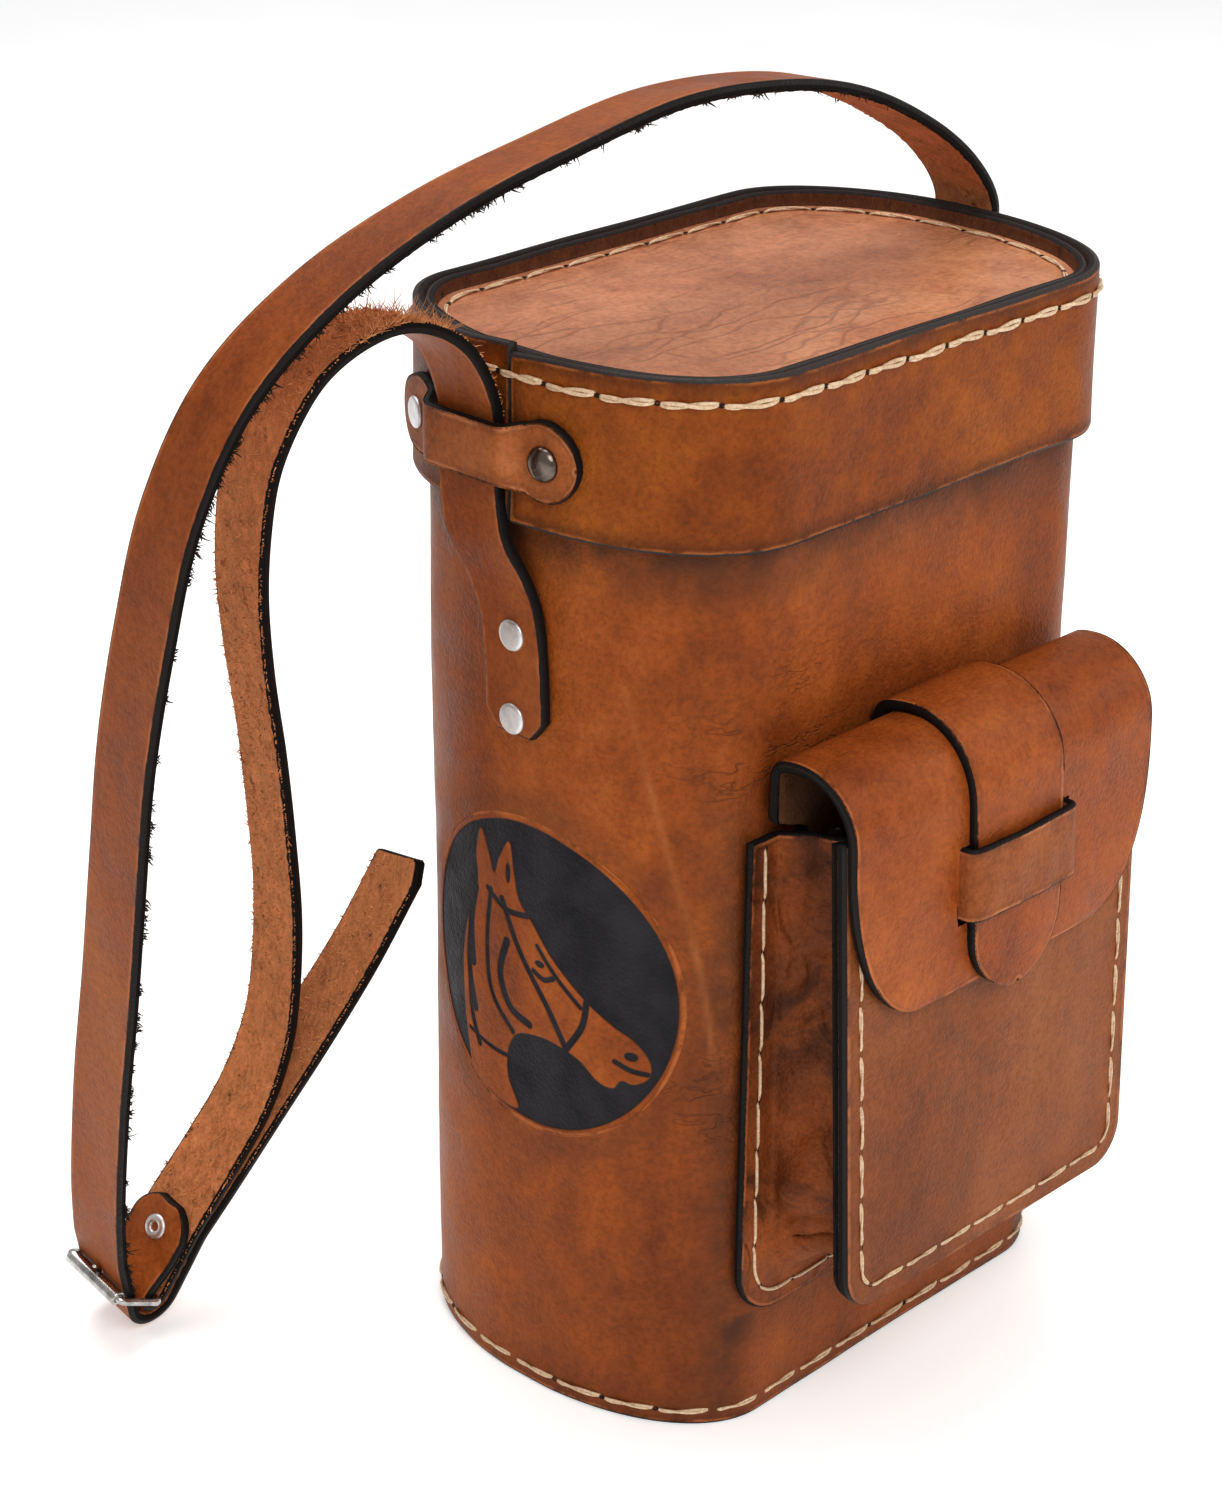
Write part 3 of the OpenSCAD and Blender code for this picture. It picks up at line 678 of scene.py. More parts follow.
def wall_extra(s, rest, colour, height, rough):
    """Dark patches of handling grime mixed with painted shade under the lid and round the pouch, and fine
    creases with painted shade along them.
    """
    dirt_and_shade, crease = s.field("dirt_and_shade"), s.field("crease")
    patch = s.noise(rest, 45, 5, 0.7)
    amount = s.times(dirt_and_shade, s.span(patch, 0.25, 0.62, 0.25, 1.0))
    # Painted shade mixed with grime: dark colour under the lid and round the pouch, and darker towards the
    # base.
    colour = s.mix(amount, colour, (0.085, 0.030, 0.014))
    scar = s.field("scar")
    colour = s.mix(s.times(scar, 0.34), colour, (0.62, 0.24, 0.07))
    height = s.plus(height, s.times(scar, 1.5))
    turned = s.stretch(rest, (1.0, 1.0, 2.6), (0.3, 0.6, 0.2))
    wander = s.ridge(s.noise(turned, 42, 3, 0.6))
    line = s.times(s.span(wander, 0.016, 0.0), crease)
    line = s.times(line, s.span(s.noise(rest, 33, 2), 0.45, 0.6))
    # Painted shade: dark colour along the fine crease lines.
    colour = s.mix(s.times(line, 0.6), colour, (0.10, 0.032, 0.012))
    height = s.math("SUBTRACT", height, s.times(line, 1.2))
    return colour, height, rough


def panel_extra(s, rest, colour, height, rough):
    """Long faint creases across the lid's top panel, with painted shade along them."""
    bent = s.stretch(rest, (0.5, 2.2, 1.0), (0, 0, 0.5))
    swirl = s.add("TexNoise", {"Vector": rest, "Scale": 30.0}).outputs["Color"]
    warped = s.add("Mix", {0: 0.035, 4: bent, 5: swirl}, data_type="VECTOR")
    veins = s.cells(warped.outputs[1], 42.0, "DISTANCE_TO_EDGE")
    area = s.span(s.noise(rest, 14, 3), 0.42, 0.6)
    line = s.times(s.span(veins, 0.055, 0.0), area)
    # Painted shade: dark colour along the crease lines.
    colour = s.mix(s.times(line, 0.35), colour, (0.17, 0.06, 0.035))
    height = s.math("SUBTRACT", height, s.times(line, 1.0))
    return colour, height, rough


def tooled_extra(s, rest, colour, height, rough):
    """Black dye on the stamped ground of the tooled round."""
    dye = s.field("dye")
    grain = s.noise(rest, 900, 3, 0.6)
    stops = [(0.35, (0.010, 0.009, 0.012)), (0.7, (0.030, 0.027, 0.032))]
    black = s.ramp(s.noise(rest, 60, 4), stops)
    colour = s.mix(s.span(dye, 0.35, 0.65), colour, black)
    edge = s.times(s.span(dye, 0.02, 0.4), s.span(dye, 0.98, 0.6))
    colour = s.mix(s.times(edge, 0.5), colour, (0.06, 0.022, 0.010))
    height = s.plus(height, s.times(grain, 0.9))
    return colour, height, rough


def gusset_extra(s, rest, colour, height, rough):
    """Dark blotches of painted shade and soft folds in the pouch's bellows."""
    patch = s.noise(rest, 38, 4, 0.65, 0.6)
    # Painted shade: dark blotches on the bellows.
    colour = s.mix(s.span(patch, 0.50, 0.68, 0.0, 0.75), colour, (0.045, 0.016, 0.008))
    rib = s.ridge(s.noise(s.stretch(rest, (1, 1, 0.6)), 26, 2))
    fold = s.span(rib, 0.03, 0.0)
    height = s.math("SUBTRACT", height, s.times(fold, 2.5))
    return colour, height, rough


def thread_material():
    s = Shader("waxed_thread")
    rest = s.rest()
    ply = s.noise(rest, 900, 4, 0.7, 0.8)
    worn = s.noise(rest, 55, 4, 0.6)
    stops = [(0.25, (0.34, 0.22, 0.12)), (0.45, (0.66, 0.47, 0.30)), (0.7, (0.86, 0.70, 0.50))]
    colour = s.ramp(ply, stops)
    colour = s.mix(s.span(worn, 0.45, 0.75, 0.0, 0.35), colour, (0.36, 0.20, 0.11))
    return s.finish(colour=colour, rough=s.span(worn, 0.3, 0.7, 0.45, 0.7),
                    normal=s.bump(ply, 0.0003, 0.8), specular=0.4)


# Painted shade: the near-black colour of the awl-hole cups and the eyelet's hole stands in for the shade
# inside the holes.
def hole_shade_material():
    s = Shader("awl_hole")
    n = s.noise(s.rest(), 800, 3)
    colour = s.ramp(n, [(0.3, (0.008, 0.005, 0.004)), (0.7, (0.045, 0.02, 0.012))])
    return s.finish(colour=colour, rough=s.span(n, 0.3, 0.7, 0.7, 0.95),
                    normal=s.bump(n, 0.0003), specular=0.2)


def metal_material(name, light, dark, rough):
    """Plated metal, mottled light and dark partly by handling smears and partly as painted dark
    reflection, and finely scratched.
    """
    s = Shader(name)
    rest = s.rest()
    smear_and_reflection = s.noise(rest, 160, 5, 0.6)
    scratch = s.noise(s.stretch(rest, (1, 6, 1)), 900, 3, 0.7)
    # Painted reflection mixed with smears: the dark colour stands in for dark reflections in the plate.
    colour = s.ramp(smear_and_reflection, [(0.3, dark), (0.55, light)])
    return s.finish(colour=colour, metal=1.0, normal=s.bump(scratch, 0.00006, 0.4),
                    rough=s.span(scratch, 0.3, 0.75, rough - 0.08, rough + 0.14))


def fibre_material(name, light, dark):
    s = Shader(name)
    n = s.noise(s.rest(), 300, 3)
    return s.finish(colour=s.ramp(n, [(0.35, dark), (0.65, light)]),
                    rough=s.span(n, 0.3, 0.7, 0.75, 0.95), normal=s.bump(n, 0.0002), specular=0.2)


COGNAC = dict(light=(0.430, 0.124, 0.021), mid=(0.296, 0.074, 0.0118),
              dark=(0.168, 0.039, 0.0080))
WALL_FLESH = (0.20, 0.085, 0.035)
EVEN = (1, 1, 1)
MATERIALS = {
    "wall": leather_material("wall_leather", **COGNAC, extra=wall_extra, flesh=WALL_FLESH),
    "tooled": leather_material("tooled_leather", **COGNAC, extra=tooled_extra,
                               edge=(0.30, 0.11, 0.04)),
    "lid": leather_material("lid_leather", light=(0.337, 0.097, 0.010), mid=(0.220, 0.052, 0.0065),
                            dark=(0.084, 0.019, 0.0045), flesh=(0.16, 0.06, 0.028),
                            streak=(1, 1, 0.7), edge=(0.045, 0.036, 0.034), burnish=0.6,
                            soft_edge=0.007),
    # The top panel's leather is lighter and pinker than the lid's: partly its own tone, partly painted
    # sheen of the light from above.
    "top": leather_material("top_leather", light=(0.600, 0.285, 0.150), mid=(0.490, 0.200, 0.098),
                            dark=(0.315, 0.102, 0.045), extra=panel_extra, gloss=0.36,
                            streak=EVEN, coat=0.30, burnish=0.3, edge=(0.20, 0.08, 0.04)),
    # The flap's and the tongue's flesh side is painted dark brown as the shade under the flap.
    "flap": leather_material("flap_leather", light=(0.437, 0.129, 0.025), mid=(0.328, 0.082, 0.014),
                             dark=(0.203, 0.045, 0.0086), gloss=0.36, flesh=(0.13, 0.055, 0.025),
                             streak=EVEN, burnish=0.35, coat=0.07),
    "front": leather_material("pouch_leather", light=(0.336, 0.120, 0.040),
                              mid=(0.248, 0.076, 0.022), dark=(0.152, 0.040, 0.012),
                              streak=(1, 1, 0.4), burnish=0.35, edge=(0.02, 0.017, 0.017)),
    "loop": leather_material("loop_leather", light=(0.459, 0.170, 0.060),
                             mid=(0.348, 0.111, 0.032), dark=(0.212, 0.058, 0.016), gloss=0.46,
                             streak=EVEN),
    "gusset": leather_material("gusset_leather", light=(0.36, 0.105, 0.026),
                               mid=(0.23, 0.062, 0.016), dark=(0.095, 0.028, 0.011), gloss=0.5,
                               pebble=0.9, streak=(1, 1, 0.6), extra=gusset_extra,
                               flesh=(0.10, 0.04, 0.02), coat=0.0),
    "strap": leather_material("strap_leather", light=(0.360, 0.110, 0.025),
                              mid=(0.268, 0.068, 0.013), dark=(0.165, 0.036, 0.0075),
                              flesh=(0.62, 0.245, 0.098), gloss=0.40, burnish=0.3,
                              streak=(1, 1, 0.25), soft_edge=0.002, pebble=0.3),
    "thread": thread_material(),
    "awl_hole": hole_shade_material(),
    # The nickel's dark colour is partly painted dark reflection.
    "nickel": metal_material("nickel_plate", (0.62, 0.60, 0.58), (0.26, 0.25, 0.24), 0.20),
    "cap": metal_material("nickel_cap", (0.72, 0.71, 0.70), (0.50, 0.48, 0.47), 0.42),
    "dark_nickel": metal_material("dark_nickel", (0.20, 0.16, 0.135), (0.05, 0.038, 0.032), 0.20),
    "tan_fibre": fibre_material("tan_fibres", (0.72, 0.34, 0.15), (0.40, 0.15, 0.055)),
    "dark_fibre": fibre_material("dark_fibres", (0.05, 0.03, 0.02), (0.015, 0.01, 0.008)),
    "sole": leather_material("sole_leather", **COGNAC, flesh=WALL_FLESH),
}

PLAN = Plan(0.0)
NEAR_S = PLAN.total / 2


# ---------- case ----------
def wall_relief(p):
    """How far the wall stands off its plan: a soft, hand-made unevenness."""
    fade = ease((LID_Z0 - 8 - p[..., 2]) / 40)
    return fade * (0.45 * wobble(p, 95, 3) + 0.12 * wobble(p, 24, 4))


def wall_dirt_and_shade(p, s, z):
    """Where the wall is painted darker: grime mixed with painted shade under the lid's rim and beside and
    beneath the pouch, darker towards the base, and a dark ring round the tooled round.
    """
    x, y = p[..., 0], p[..., 1]
    below_lid = ease(1 - (LID_Z0 - z) / 26) * (z < LID_Z0 + 6)
    low = 0.35 * ease(1 - z / 22)
    beside = 0.75 * ease(1 - (np.abs(np.abs(x) - FLANGE_W / 2)) / 14)
    beside = beside * (y < POUCH_Y + 22) * ease((BACK_Z1 + 25 - z) / 30)
    beneath = 0.45 * ease(1 - (BACK_Z0 - z) / 20) * (np.abs(x) < FLANGE_W / 2)
    beneath = beneath * (y < 0) * (z < BACK_Z0)
    from_round = np.hypot(s - (NEAR_S - ROUND_Y), z - ROUND_Z)
    ring = 0.35 * ease(1 - np.abs(from_round - ROUND_R - 4) / 10)
    return np.clip(below_lid * 0.9 + low + beside + beneath + ring, 0, 1)


def wall_scar(p, s, z):
    """One long rubbed line down the front wall, left of the pouch."""
    corner = np.argmin(np.abs(PLAN.p[:, 0] + FLANGE_W / 2) + 1000 * (PLAN.p[:, 1] > 0))
    route = np.array([(-33, 246), (-24, 212), (-14, 176), (-8, 150), (-5, 128)])
    away = distance_to_line(np.stack([s, z], -1), spline(route + [PLAN.s[corner], 0], 8))
    return np.exp(-(away / 1.15) ** 2) * (0.6 + 0.4 * wobble(p, 18, 9))


def case_wall():
    cols = int(PLAN.total / ROW)
    z = np.linspace(0, WALL_Z1, int(WALL_Z1 / ROW))[:, None]
    s = np.arange(cols)[None] * PLAN.total / cols
    z, s = np.broadcast_arrays(z, s)
    p, _ = PLAN.wall(s, z)
    grid, _ = PLAN.wall(s, z, wall_relief(p) - WALL_T / 2)
    x, y = p[..., 0], p[..., 1]
    crease = ease(1 - np.hypot((x + 62) / 46, (z - 225) / 48)) * (y < -20)
    crease = crease + 0.8 * ease(1 - np.hypot((x + 80) / 20, (z - 120) / 60)) * (y < -30)
    # The wall's dark field is grime mixed with painted shade under the lid and round the pouch.
    fields = {"scar": wall_scar(p, s, z), "dirt_and_shade": wall_dirt_and_shade(p, s, z), "crease": np.clip(crease, 0, 1)}
    obj = leather("case_wall", grid, WALL_T, "wall", side=-1, closed=True, fields=fields)
    place(obj, "case", ["body_wall"])


def panel(name, z, thick, off, material, lip, crown):
    """A panel of the case's plan, as rows across it, with a lip at its border."""
    plan = Plan(off)
    cols = 90
    tip = CASE_L / 2 + off - CORNER_X
    k = np.linspace(0, math.pi / 2 * 0.985, 26)
    ends = tip + CORNER_X * np.sin(k)
    x = np.concatenate([-ends[::-1], np.linspace(-tip, tip, 70)[1:-1], ends])
    order = np.argsort(plan.p[:, 0][plan.p[:, 1] > 0])
    border = plan.p[plan.p[:, 1] > 0][order]
    half = np.interp(np.abs(x), border[:, 0], border[:, 1])
    across = crowded(cols, 1.42)
    xy = np.stack([np.repeat(x[:, None], cols, 1), half[:, None] * across[None]], -1)
    to_border = distance_to_line(xy, plan.p[::4])
    middle = ease(to_border / 34)
    level = z - thick / 2 + crown * middle + lip * ease(1 - to_border / 7)
    p = np.concatenate([xy, level[..., None]], -1)
    p[..., 2] += 0.35 * wobble(p, 55, 8) * middle
    return leather(name, p, thick, material, side=1, bevel=0.2)


def base():
    obj = panel("base_sole", 4.0, 4.0, -WALL_T - 0.2, "sole", 0, 0)
    place(obj, "case", ["base_panel"])


def plan_stitches(name, off, z, radius, flat=False, phase=0.3):
    """Stitching right round the case, on its wall or, where flat, on a panel."""
    plan = Plan(off)
    s = np.linspace(0, plan.total, 700)
    line, normal = plan.wall(s, z)
    if flat:
        normal = np.tile([0.0, 0.0, 1.0], (len(s), 1))
    return stitches(name, line, normal, PLAN_PITCH, radius, 2, phase)


def horse_outline():
    """A plain horse's head and neck in profile, facing right, inside a unit circle."""
    return spline([
        (-0.55, -0.80), (-0.62, -0.45), (-0.63, -0.10), (-0.56, 0.22), (-0.47, 0.44),
        (-0.48, 0.62), (-0.43, 0.80), (-0.36, 0.68), (-0.31, 0.56), (-0.26, 0.68),
        (-0.18, 0.80), (-0.14, 0.62), (-0.10, 0.46), (0.02, 0.34), (0.16, 0.18), (0.36, 0.00),
        (0.56, -0.14), (0.70, -0.22), (0.79, -0.33), (0.79, -0.44), (0.70, -0.50),
        (0.62, -0.49), (0.57, -0.55), (0.47, -0.53), (0.34, -0.42), (0.16, -0.37),
        (0.00, -0.38), (-0.13, -0.43), (-0.20, -0.56), (-0.20, -0.74), (-0.12, -0.92),
        (-0.34, -0.90), (-0.55, -0.80)], 6)


def horse_lines():
    """Dark lines on the head: line width and points, each a smooth stroke."""
    return [
        (0.020, [(-0.24, 0.42), (-0.10, 0.14), (0.12, -0.14), (0.26, -0.38)]),
        (0.020, [(0.40, -0.03), (0.37, -0.20), (0.26, -0.38)]),
        (0.018, [(-0.37, 0.44), (-0.20, 0.36), (-0.03, 0.38)]),
        (0.018, [(-0.34, 0.44), (-0.38, 0.10), (-0.34, -0.22), (-0.16, -0.42)]),
        (0.026, [(-0.20, 0.16), (-0.26, -0.06), (-0.18, -0.26), (-0.02, -0.32)]),
        (0.016, [(0.78, -0.42), (0.68, -0.41), (0.58, -0.37)]),
        (0.014, [(0.26, -0.38), (0.06, -0.52), (-0.22, -0.60), (-0.56, -0.56)]),
        (0.030, [(-0.49, 0.40), (-0.54, 0.16), (-0.52, -0.10)]),
        (0.026, [(-0.55, 0.10), (-0.56, -0.16), (-0.50, -0.40)]),
        (0.022, [(-0.56, -0.20), (-0.54, -0.44), (-0.46, -0.62)]),
        (0.014, [(0.05, 0.22), (0.20, 0.06), (0.36, -0.08)]),
        (0.016, [(0.02, 0.05), (0.10, 0.02), (0.17, 0.05)]),
    ]


def inside(p, line):
    x, y = p[..., 0], p[..., 1]
    odd = np.zeros(x.shape, bool)
    for (x0, y0), (x1, y1) in zip(line[:-1], line[1:]):
        if y0 == y1:
            continue
        crosses = (y0 > y) != (y1 > y)
        odd ^= crosses & (x < (x1 - x0) * (y - y0) / (y1 - y0) + x0)
    return odd


def tooled_round():
    """The stamped and dyed round on the near end, with a plain horse's head."""
    count = 300
    u = np.linspace(-1, 1, count)
    a, b = np.meshgrid(u, u, indexing="ij")
    x = a * np.sqrt(1 - b * b / 2)
    y = b * np.sqrt(1 - a * a / 2)
    p = np.stack([x, y], -1)
    outline = horse_outline()
    signed = distance_to_line(p, outline) * np.where(inside(p, outline), -1, 1)
    ink = signed
    for width, points in horse_lines():
        stroke = width - distance_to_line(p, spline(points, 6))
        ink = np.maximum(ink, np.where(signed < 0, stroke, ink))
    eye = 0.036 - np.hypot((x - 0.07), (y - 0.11) * 1.7)
    nostril = 0.042 - np.hypot((x - 0.68), (y + 0.32) * 1.5)
    ear = 0.035 - np.hypot((x + 0.19) * 1.8, (y - 0.60) * 0.55)
    for spot in (eye, nostril, ear):
        ink = np.maximum(ink, spot)
    ink = np.minimum(ink, 0.955 - np.hypot(x, y))
    blur = 0.008
    dye = ease((ink + blur) / (2 * blur))
    radius = np.hypot(x, y)
    groove = np.exp(-((radius - 0.985) / 0.007) ** 2)
    top = 0.18 - 0.32 * dye - 0.22 * groove - 0.12 * ease((radius - 0.97) / 0.03)
    s = NEAR_S - ROUND_Y + x * ROUND_R
    z = ROUND_Z + y * ROUND_R
    surface, _ = PLAN.wall(s, z)
    grid, _ = PLAN.wall(s, z, wall_relief(surface) - 0.15)
    obj = leather("tooled_round", grid, 0.6, "tooled", side=1, top=top,
                  fields={"dye": dye}, bevel=0.3)
    place(obj, "case")


def divider():
    """The upright partition inside, with its two sides turned along the walls."""
    low, high = box_mm("divider")
    x, top = low[0] + 1.5, high[2]
    reach = CASE_D / 2 - WALL_T - 2
    corner, wing = 6.0, 16
    path = np.vstack([[[x + wing, -reach]], arc(x + corner, -reach + corner, corner, 270, 180, 8),
                      arc(x + corner, reach - corner, corner, 180, 90, 8), [[x + wing, reach]]])
    path = evenly(in_3d(path), 2.0)
    z = np.linspace(4.2, top, 60)
    grid = np.repeat(path[None], len(z), 0)
    grid[..., 2] = z[:, None] + 0.6 * np.sin(path[None, :, 1] / 22) * (z[:, None] / top)
    obj = leather("divider_leather", grid, 2.6, "gusset", side=1)
    place(obj, "case", ["divider"])


# ---------- pouch ----------
def u_line(half, z0, z1, r, taper, legs=70, bends=16, floor=70):
    """A U open at the top, in X and Z, with a fixed number of points on each stretch."""
    low = half - taper
    left = np.stack([np.linspace(-half, -low, legs), np.linspace(z1, z0 + r, legs)], 1)
    turn_l = arc(-low + r, z0 + r, r, 180, 270, bends)[1:]
    flat = np.stack([np.linspace(-low + r, low - r, floor), np.full(floor, z0)], 1)[1:]
    turn_r = arc(low - r, z0 + r, r, 270, 360, bends)[1:]
    right = left[::-1] * np.array([-1, 1])
    return np.vstack([left, turn_l, flat, turn_r, right[1:]])


def upright(line, y):
    """A line in X and Z as points in the upright plane at y."""
    return np.stack([line[:, 0], np.full(len(line), y), line[:, 1]], 1)


def on_front(line, y):
    return leaning(upright(line, y))


POUCH_MIDDLE_Z = 125.0


def gusset():
    """Back flange, bellows side and front flange in one soft piece of leather."""
    t = 2.6
    back_outer = u_line(FLANGE_W / 2, BACK_Z0, BACK_Z1, 18, 0)
    back_web = u_line(FLANGE_W / 2 - 12.5, BACK_Z0 + 12.5, BACK_Z1, 12, TAPER)
    front_web = u_line(POUCH_W / 2 - 11, FRONT_Z0 + 12, FRONT_Z1 - 3, 12, TAPER)
    front_outer = u_line(POUCH_W / 2 - 0.4, FRONT_Z0 + 0.4, FRONT_Z1 - 0.5, 13, TAPER)
    y_back, y_front = POUCH_Y - t / 2 - 0.2, FRONT_Y + FRONT_T + t / 2 + 0.1
    corners = [upright(back_outer, y_back), upright(back_web, y_back)]
    corners += [on_front(front_web, y_front), on_front(front_outer, y_front)]
    knots = []
    for p, q, count in zip(corners[:-1], corners[1:], (9, 26, 8)):
        for k in np.linspace(0, 1, count, endpoint=False):
            knots.append(p + (q - p) * k)
    knots.append(corners[-1])
    grid = smoothed(np.stack(knots, 0), 5)
    grid = grid + gusset_slack(grid)
    obj = leather("gusset_leather", grid, t, "gusset", side=-1)
    place(obj, "case", ["pouch_gusset"])


def gusset_slack(grid):
    """How far each point of the bellows hangs out or folds in, none of it on the flanges."""
    v = np.linspace(0, 1, len(grid))[:, None]
    web = ease((v - 0.26) / 0.14) * ease((0.82 - v) / 0.12)
    x, y, z = (grid[..., k] for k in range(3))
    outward = np.zeros_like(grid)
    outward[..., 0] = x
    outward[..., 2] = (z - POUCH_MIDDLE_Z) * ease((75 - z) / 20)
    low = np.exp(-((z - 92) / 24) ** 2)
    wave = wobble(grid, 34, 21) * 1.3 + wobble(grid * np.array([1, 1, 1.7]), 17, 22) * 0.7
    folds = 0
    for size, height, slope, width in ((2.2, 76, 0.35, 2.6), (1.4, 69, 0.5, 2.0)):
        folds = folds + size * np.exp(-(((z - height) + slope * (y + 80)) / width) ** 2)
    bulge = web * (4.2 * low + wave * (0.8 + 1.1 * low) - 1.5 * folds * (np.abs(x) > 50) - 1.6)
    return unit(outward) * bulge[..., None]


def shaped(half_at, levels, cols, to_point):
    """A grid of rows whose half-width varies: to_point(x, level index) gives each point."""
    across = np.sin(np.linspace(-1, 1, cols) * math.pi / 2 * 0.93) / math.sin(math.pi / 2 * 0.93)
    return np.stack([to_point(across * half_at[i], i) for i in range(len(levels))], 0)


def corner_half(distance, half, r):
    """Half-width at a distance from an end whose corners have the radius r."""
    d = np.clip(distance, 0, r)
    return half - r + np.sqrt(np.maximum(r * r - (r - d) ** 2, 0))


def pouch_front():
    r = 13.0
    low = FRONT_Z0 + r * (1 - np.cos(np.linspace(0, math.pi / 2, 18)))
    z = np.concatenate([low[:-1], np.linspace(low[-1], FRONT_Z1, 90)])
    half = corner_half(z - FRONT_Z0, 1.0, r) + POUCH_W / 2 - 1.0
    half = half - TAPER * (FRONT_Z1 - z) / (FRONT_Z1 - FRONT_Z0)

    def point(x, i):
        p = np.stack([x, np.full(len(x), FRONT_Y + FRONT_T / 2), np.full(len(x), z[i])], 1)
        inner = ease((half[i] - np.abs(x)) / 40) * ease((z[i] - FRONT_Z0) / 40)
        p[:, 1] -= 1.1 * inner + 0.25 * wobble(p, 60, 31) * inner
        return leaning(p)

    grid = shaped(half, z, 100, point)
    obj = leather("pouch_panel", grid, FRONT_T, "front", side=-1, bevel=0.2)
    place(obj, "case", ["pouch_front"])


def leaf_line(lift, z0, wall_y):
    """The flap's or tongue's middle line in Y and Z: up the wall, over, and down the front."""
    r = wall_y - HINGE_Y - 0.3
    cy, cz = FLAP_Y + FLAP_BEND, HINGE_Z + 1 - FLAP_BEND
    root = np.vstack([[[wall_y, 186.0]], arc(wall_y - r, HINGE_Z + lift - r, r, 0, 90, 6)])
    over = arc(cy, cz, FLAP_BEND + lift, 90, 180, 24)
    end = [[FLAP_Y - lift + (cz - z0) * math.tan(LEAN), z0]]
    line = in_3d(np.vstack([root, over, end]))
    return smoothed(evenly(line, 1.0), 14)[:, :2]


def leaf(name, line, half_fn, cols, crown, window_fn=None):
    """A strip of leather hanging along a line in Y and Z."""
    s = lengths(line)
    half = half_fn(s, line[:, 1])
    across = crowded(cols, 1.40)
    x = across[None] * half[:, None]
    grid = np.stack([x, np.repeat(line[:, :1], cols, 1), np.repeat(line[:, 1:], cols, 1)], -1)
    tangent = unit(np.gradient(line, axis=0))
    outward = np.stack([tangent[:, 1], -tangent[:, 0]], 1)
    if outward[-20, 0] > 0:
        outward = -outward
    free = ease((s - 38) / 25)[:, None]
    lift = crown * free * (1 - (np.abs(across)[None]) ** 2.4) + 0.35 * wobble(grid, 50, cols) * free
    grid[..., 1] += outward[:, :1] * lift
    grid[..., 2] += outward[:, 1:] * lift
    window = window_fn(x, grid[..., 2]) if window_fn else None
    return leather(name, grid, FLAP_T, "flap", window=window)


def end_rows(line, r):
    """Resamples a line so that its rows crowd towards the rounded end."""
    total = lengths(line)[-1]
    body = np.linspace(0, total - r, int((total - r) / ROW))
    tip = total - r * (1 - np.sin(np.linspace(0, math.pi / 2 * 0.97, 18)))[1:]
    return resample(in_3d(line), np.concatenate([body, tip, [total]]))[:, :2]


# Two points by the flap's and the tongue's hinges, given to place with the hinge's name
HINGE_SPAN = ((0, -0.0715, HINGE_Z * MM), (0, -0.0765, HINGE_Z * MM))


def flap():
    """The pouch's flap, rounded at its end, with a slit for the loop."""
    end_length, narrower, root_half = 50, 27, 57
    line = end_rows(leaf_line(0, FLAP_Z0, POUCH_Y - 0.05 - 1.5 * LEAF_STEP), 22.0)

    def half(s, z):
        to_end = np.clip(1 - (s[-1] - s) / end_length, 0, 1)
        wide = FLAP_W / 2 - narrower + narrower * np.sqrt(np.maximum(1 - to_end ** 2, 0))
        inside_pouch = ease((208 - z) / 6) * (s < 40)
        return wide - (FLAP_W / 2 - root_half) * inside_pouch

    gap = LOOP_X + LOOP_T / 2 + 0.9

    def window(x, z):
        cell_x = np.abs(x) < gap
        cell_z = (z > LOOP_Z0 - 1) & (z < LOOP_Z0 + LOOP_H + 1)
        far_down = np.arange(len(x))[:, None] > 45
        return cell_x & cell_z & far_down

    obj = leaf("pouch_flap_leather", line, half, 90, 1.0, window)
    place(obj, "case", ["pouch_flap", "flap_root"], ("flap", *HINGE_SPAN))


def tongue():
    """The narrow strip over the flap, which passes under the loop."""
    r = TONGUE_W / 2 - 1
    line = end_rows(leaf_line(LEAF_STEP, TONGUE_Z0, POUCH_Y - 0.05 - FLAP_T / 2), r)

    def half(s, z):
        return corner_half(s[-1] - s, TONGUE_W / 2, r)

    obj = leaf("pouch_tongue_leather", line, half, 44, 0.4)
    place(obj, "case", ["pouch_tongue", "tongue_root"], ("tongue", *HINGE_SPAN))


def pouch_loop():
    """The band over the tongue: out of one slit, across and back in at the other."""
    foot = FRONT_Y + FRONT_T
    r = 2.6
    path = np.vstack([[[-LOOP_X, foot]], arc(-LOOP_X + r, LOOP_Y + r, r, 180, 270, 8),
                      arc(LOOP_X - r, LOOP_Y + r, r, 270, 360, 8), [[LOOP_X, foot]]])
    path = evenly(in_3d(path), 1.0)
    z = np.linspace(LOOP_Z0, LOOP_Z0 + LOOP_H, 26)
    grid = np.repeat(path[None], len(z), 0)
    middle = 1 - (path[:, 0] / LOOP_X) ** 2
    shape = np.sin(np.linspace(0, math.pi, len(z)))[:, None]
    grid[..., 2] = z[:, None]
    outside = ease((LOOP_X - 1 - np.abs(path[:, 0])) / 3)
    grid[..., 1] -= (0.9 * middle + 0.5 * shape * middle) * outside + 0.25 * wobble(grid, 16, 41) * outside
    obj = leather("loop_band", leaning(grid), LOOP_T, "loop", side=-1)
    place(obj, "case", ["pouch_loop"])


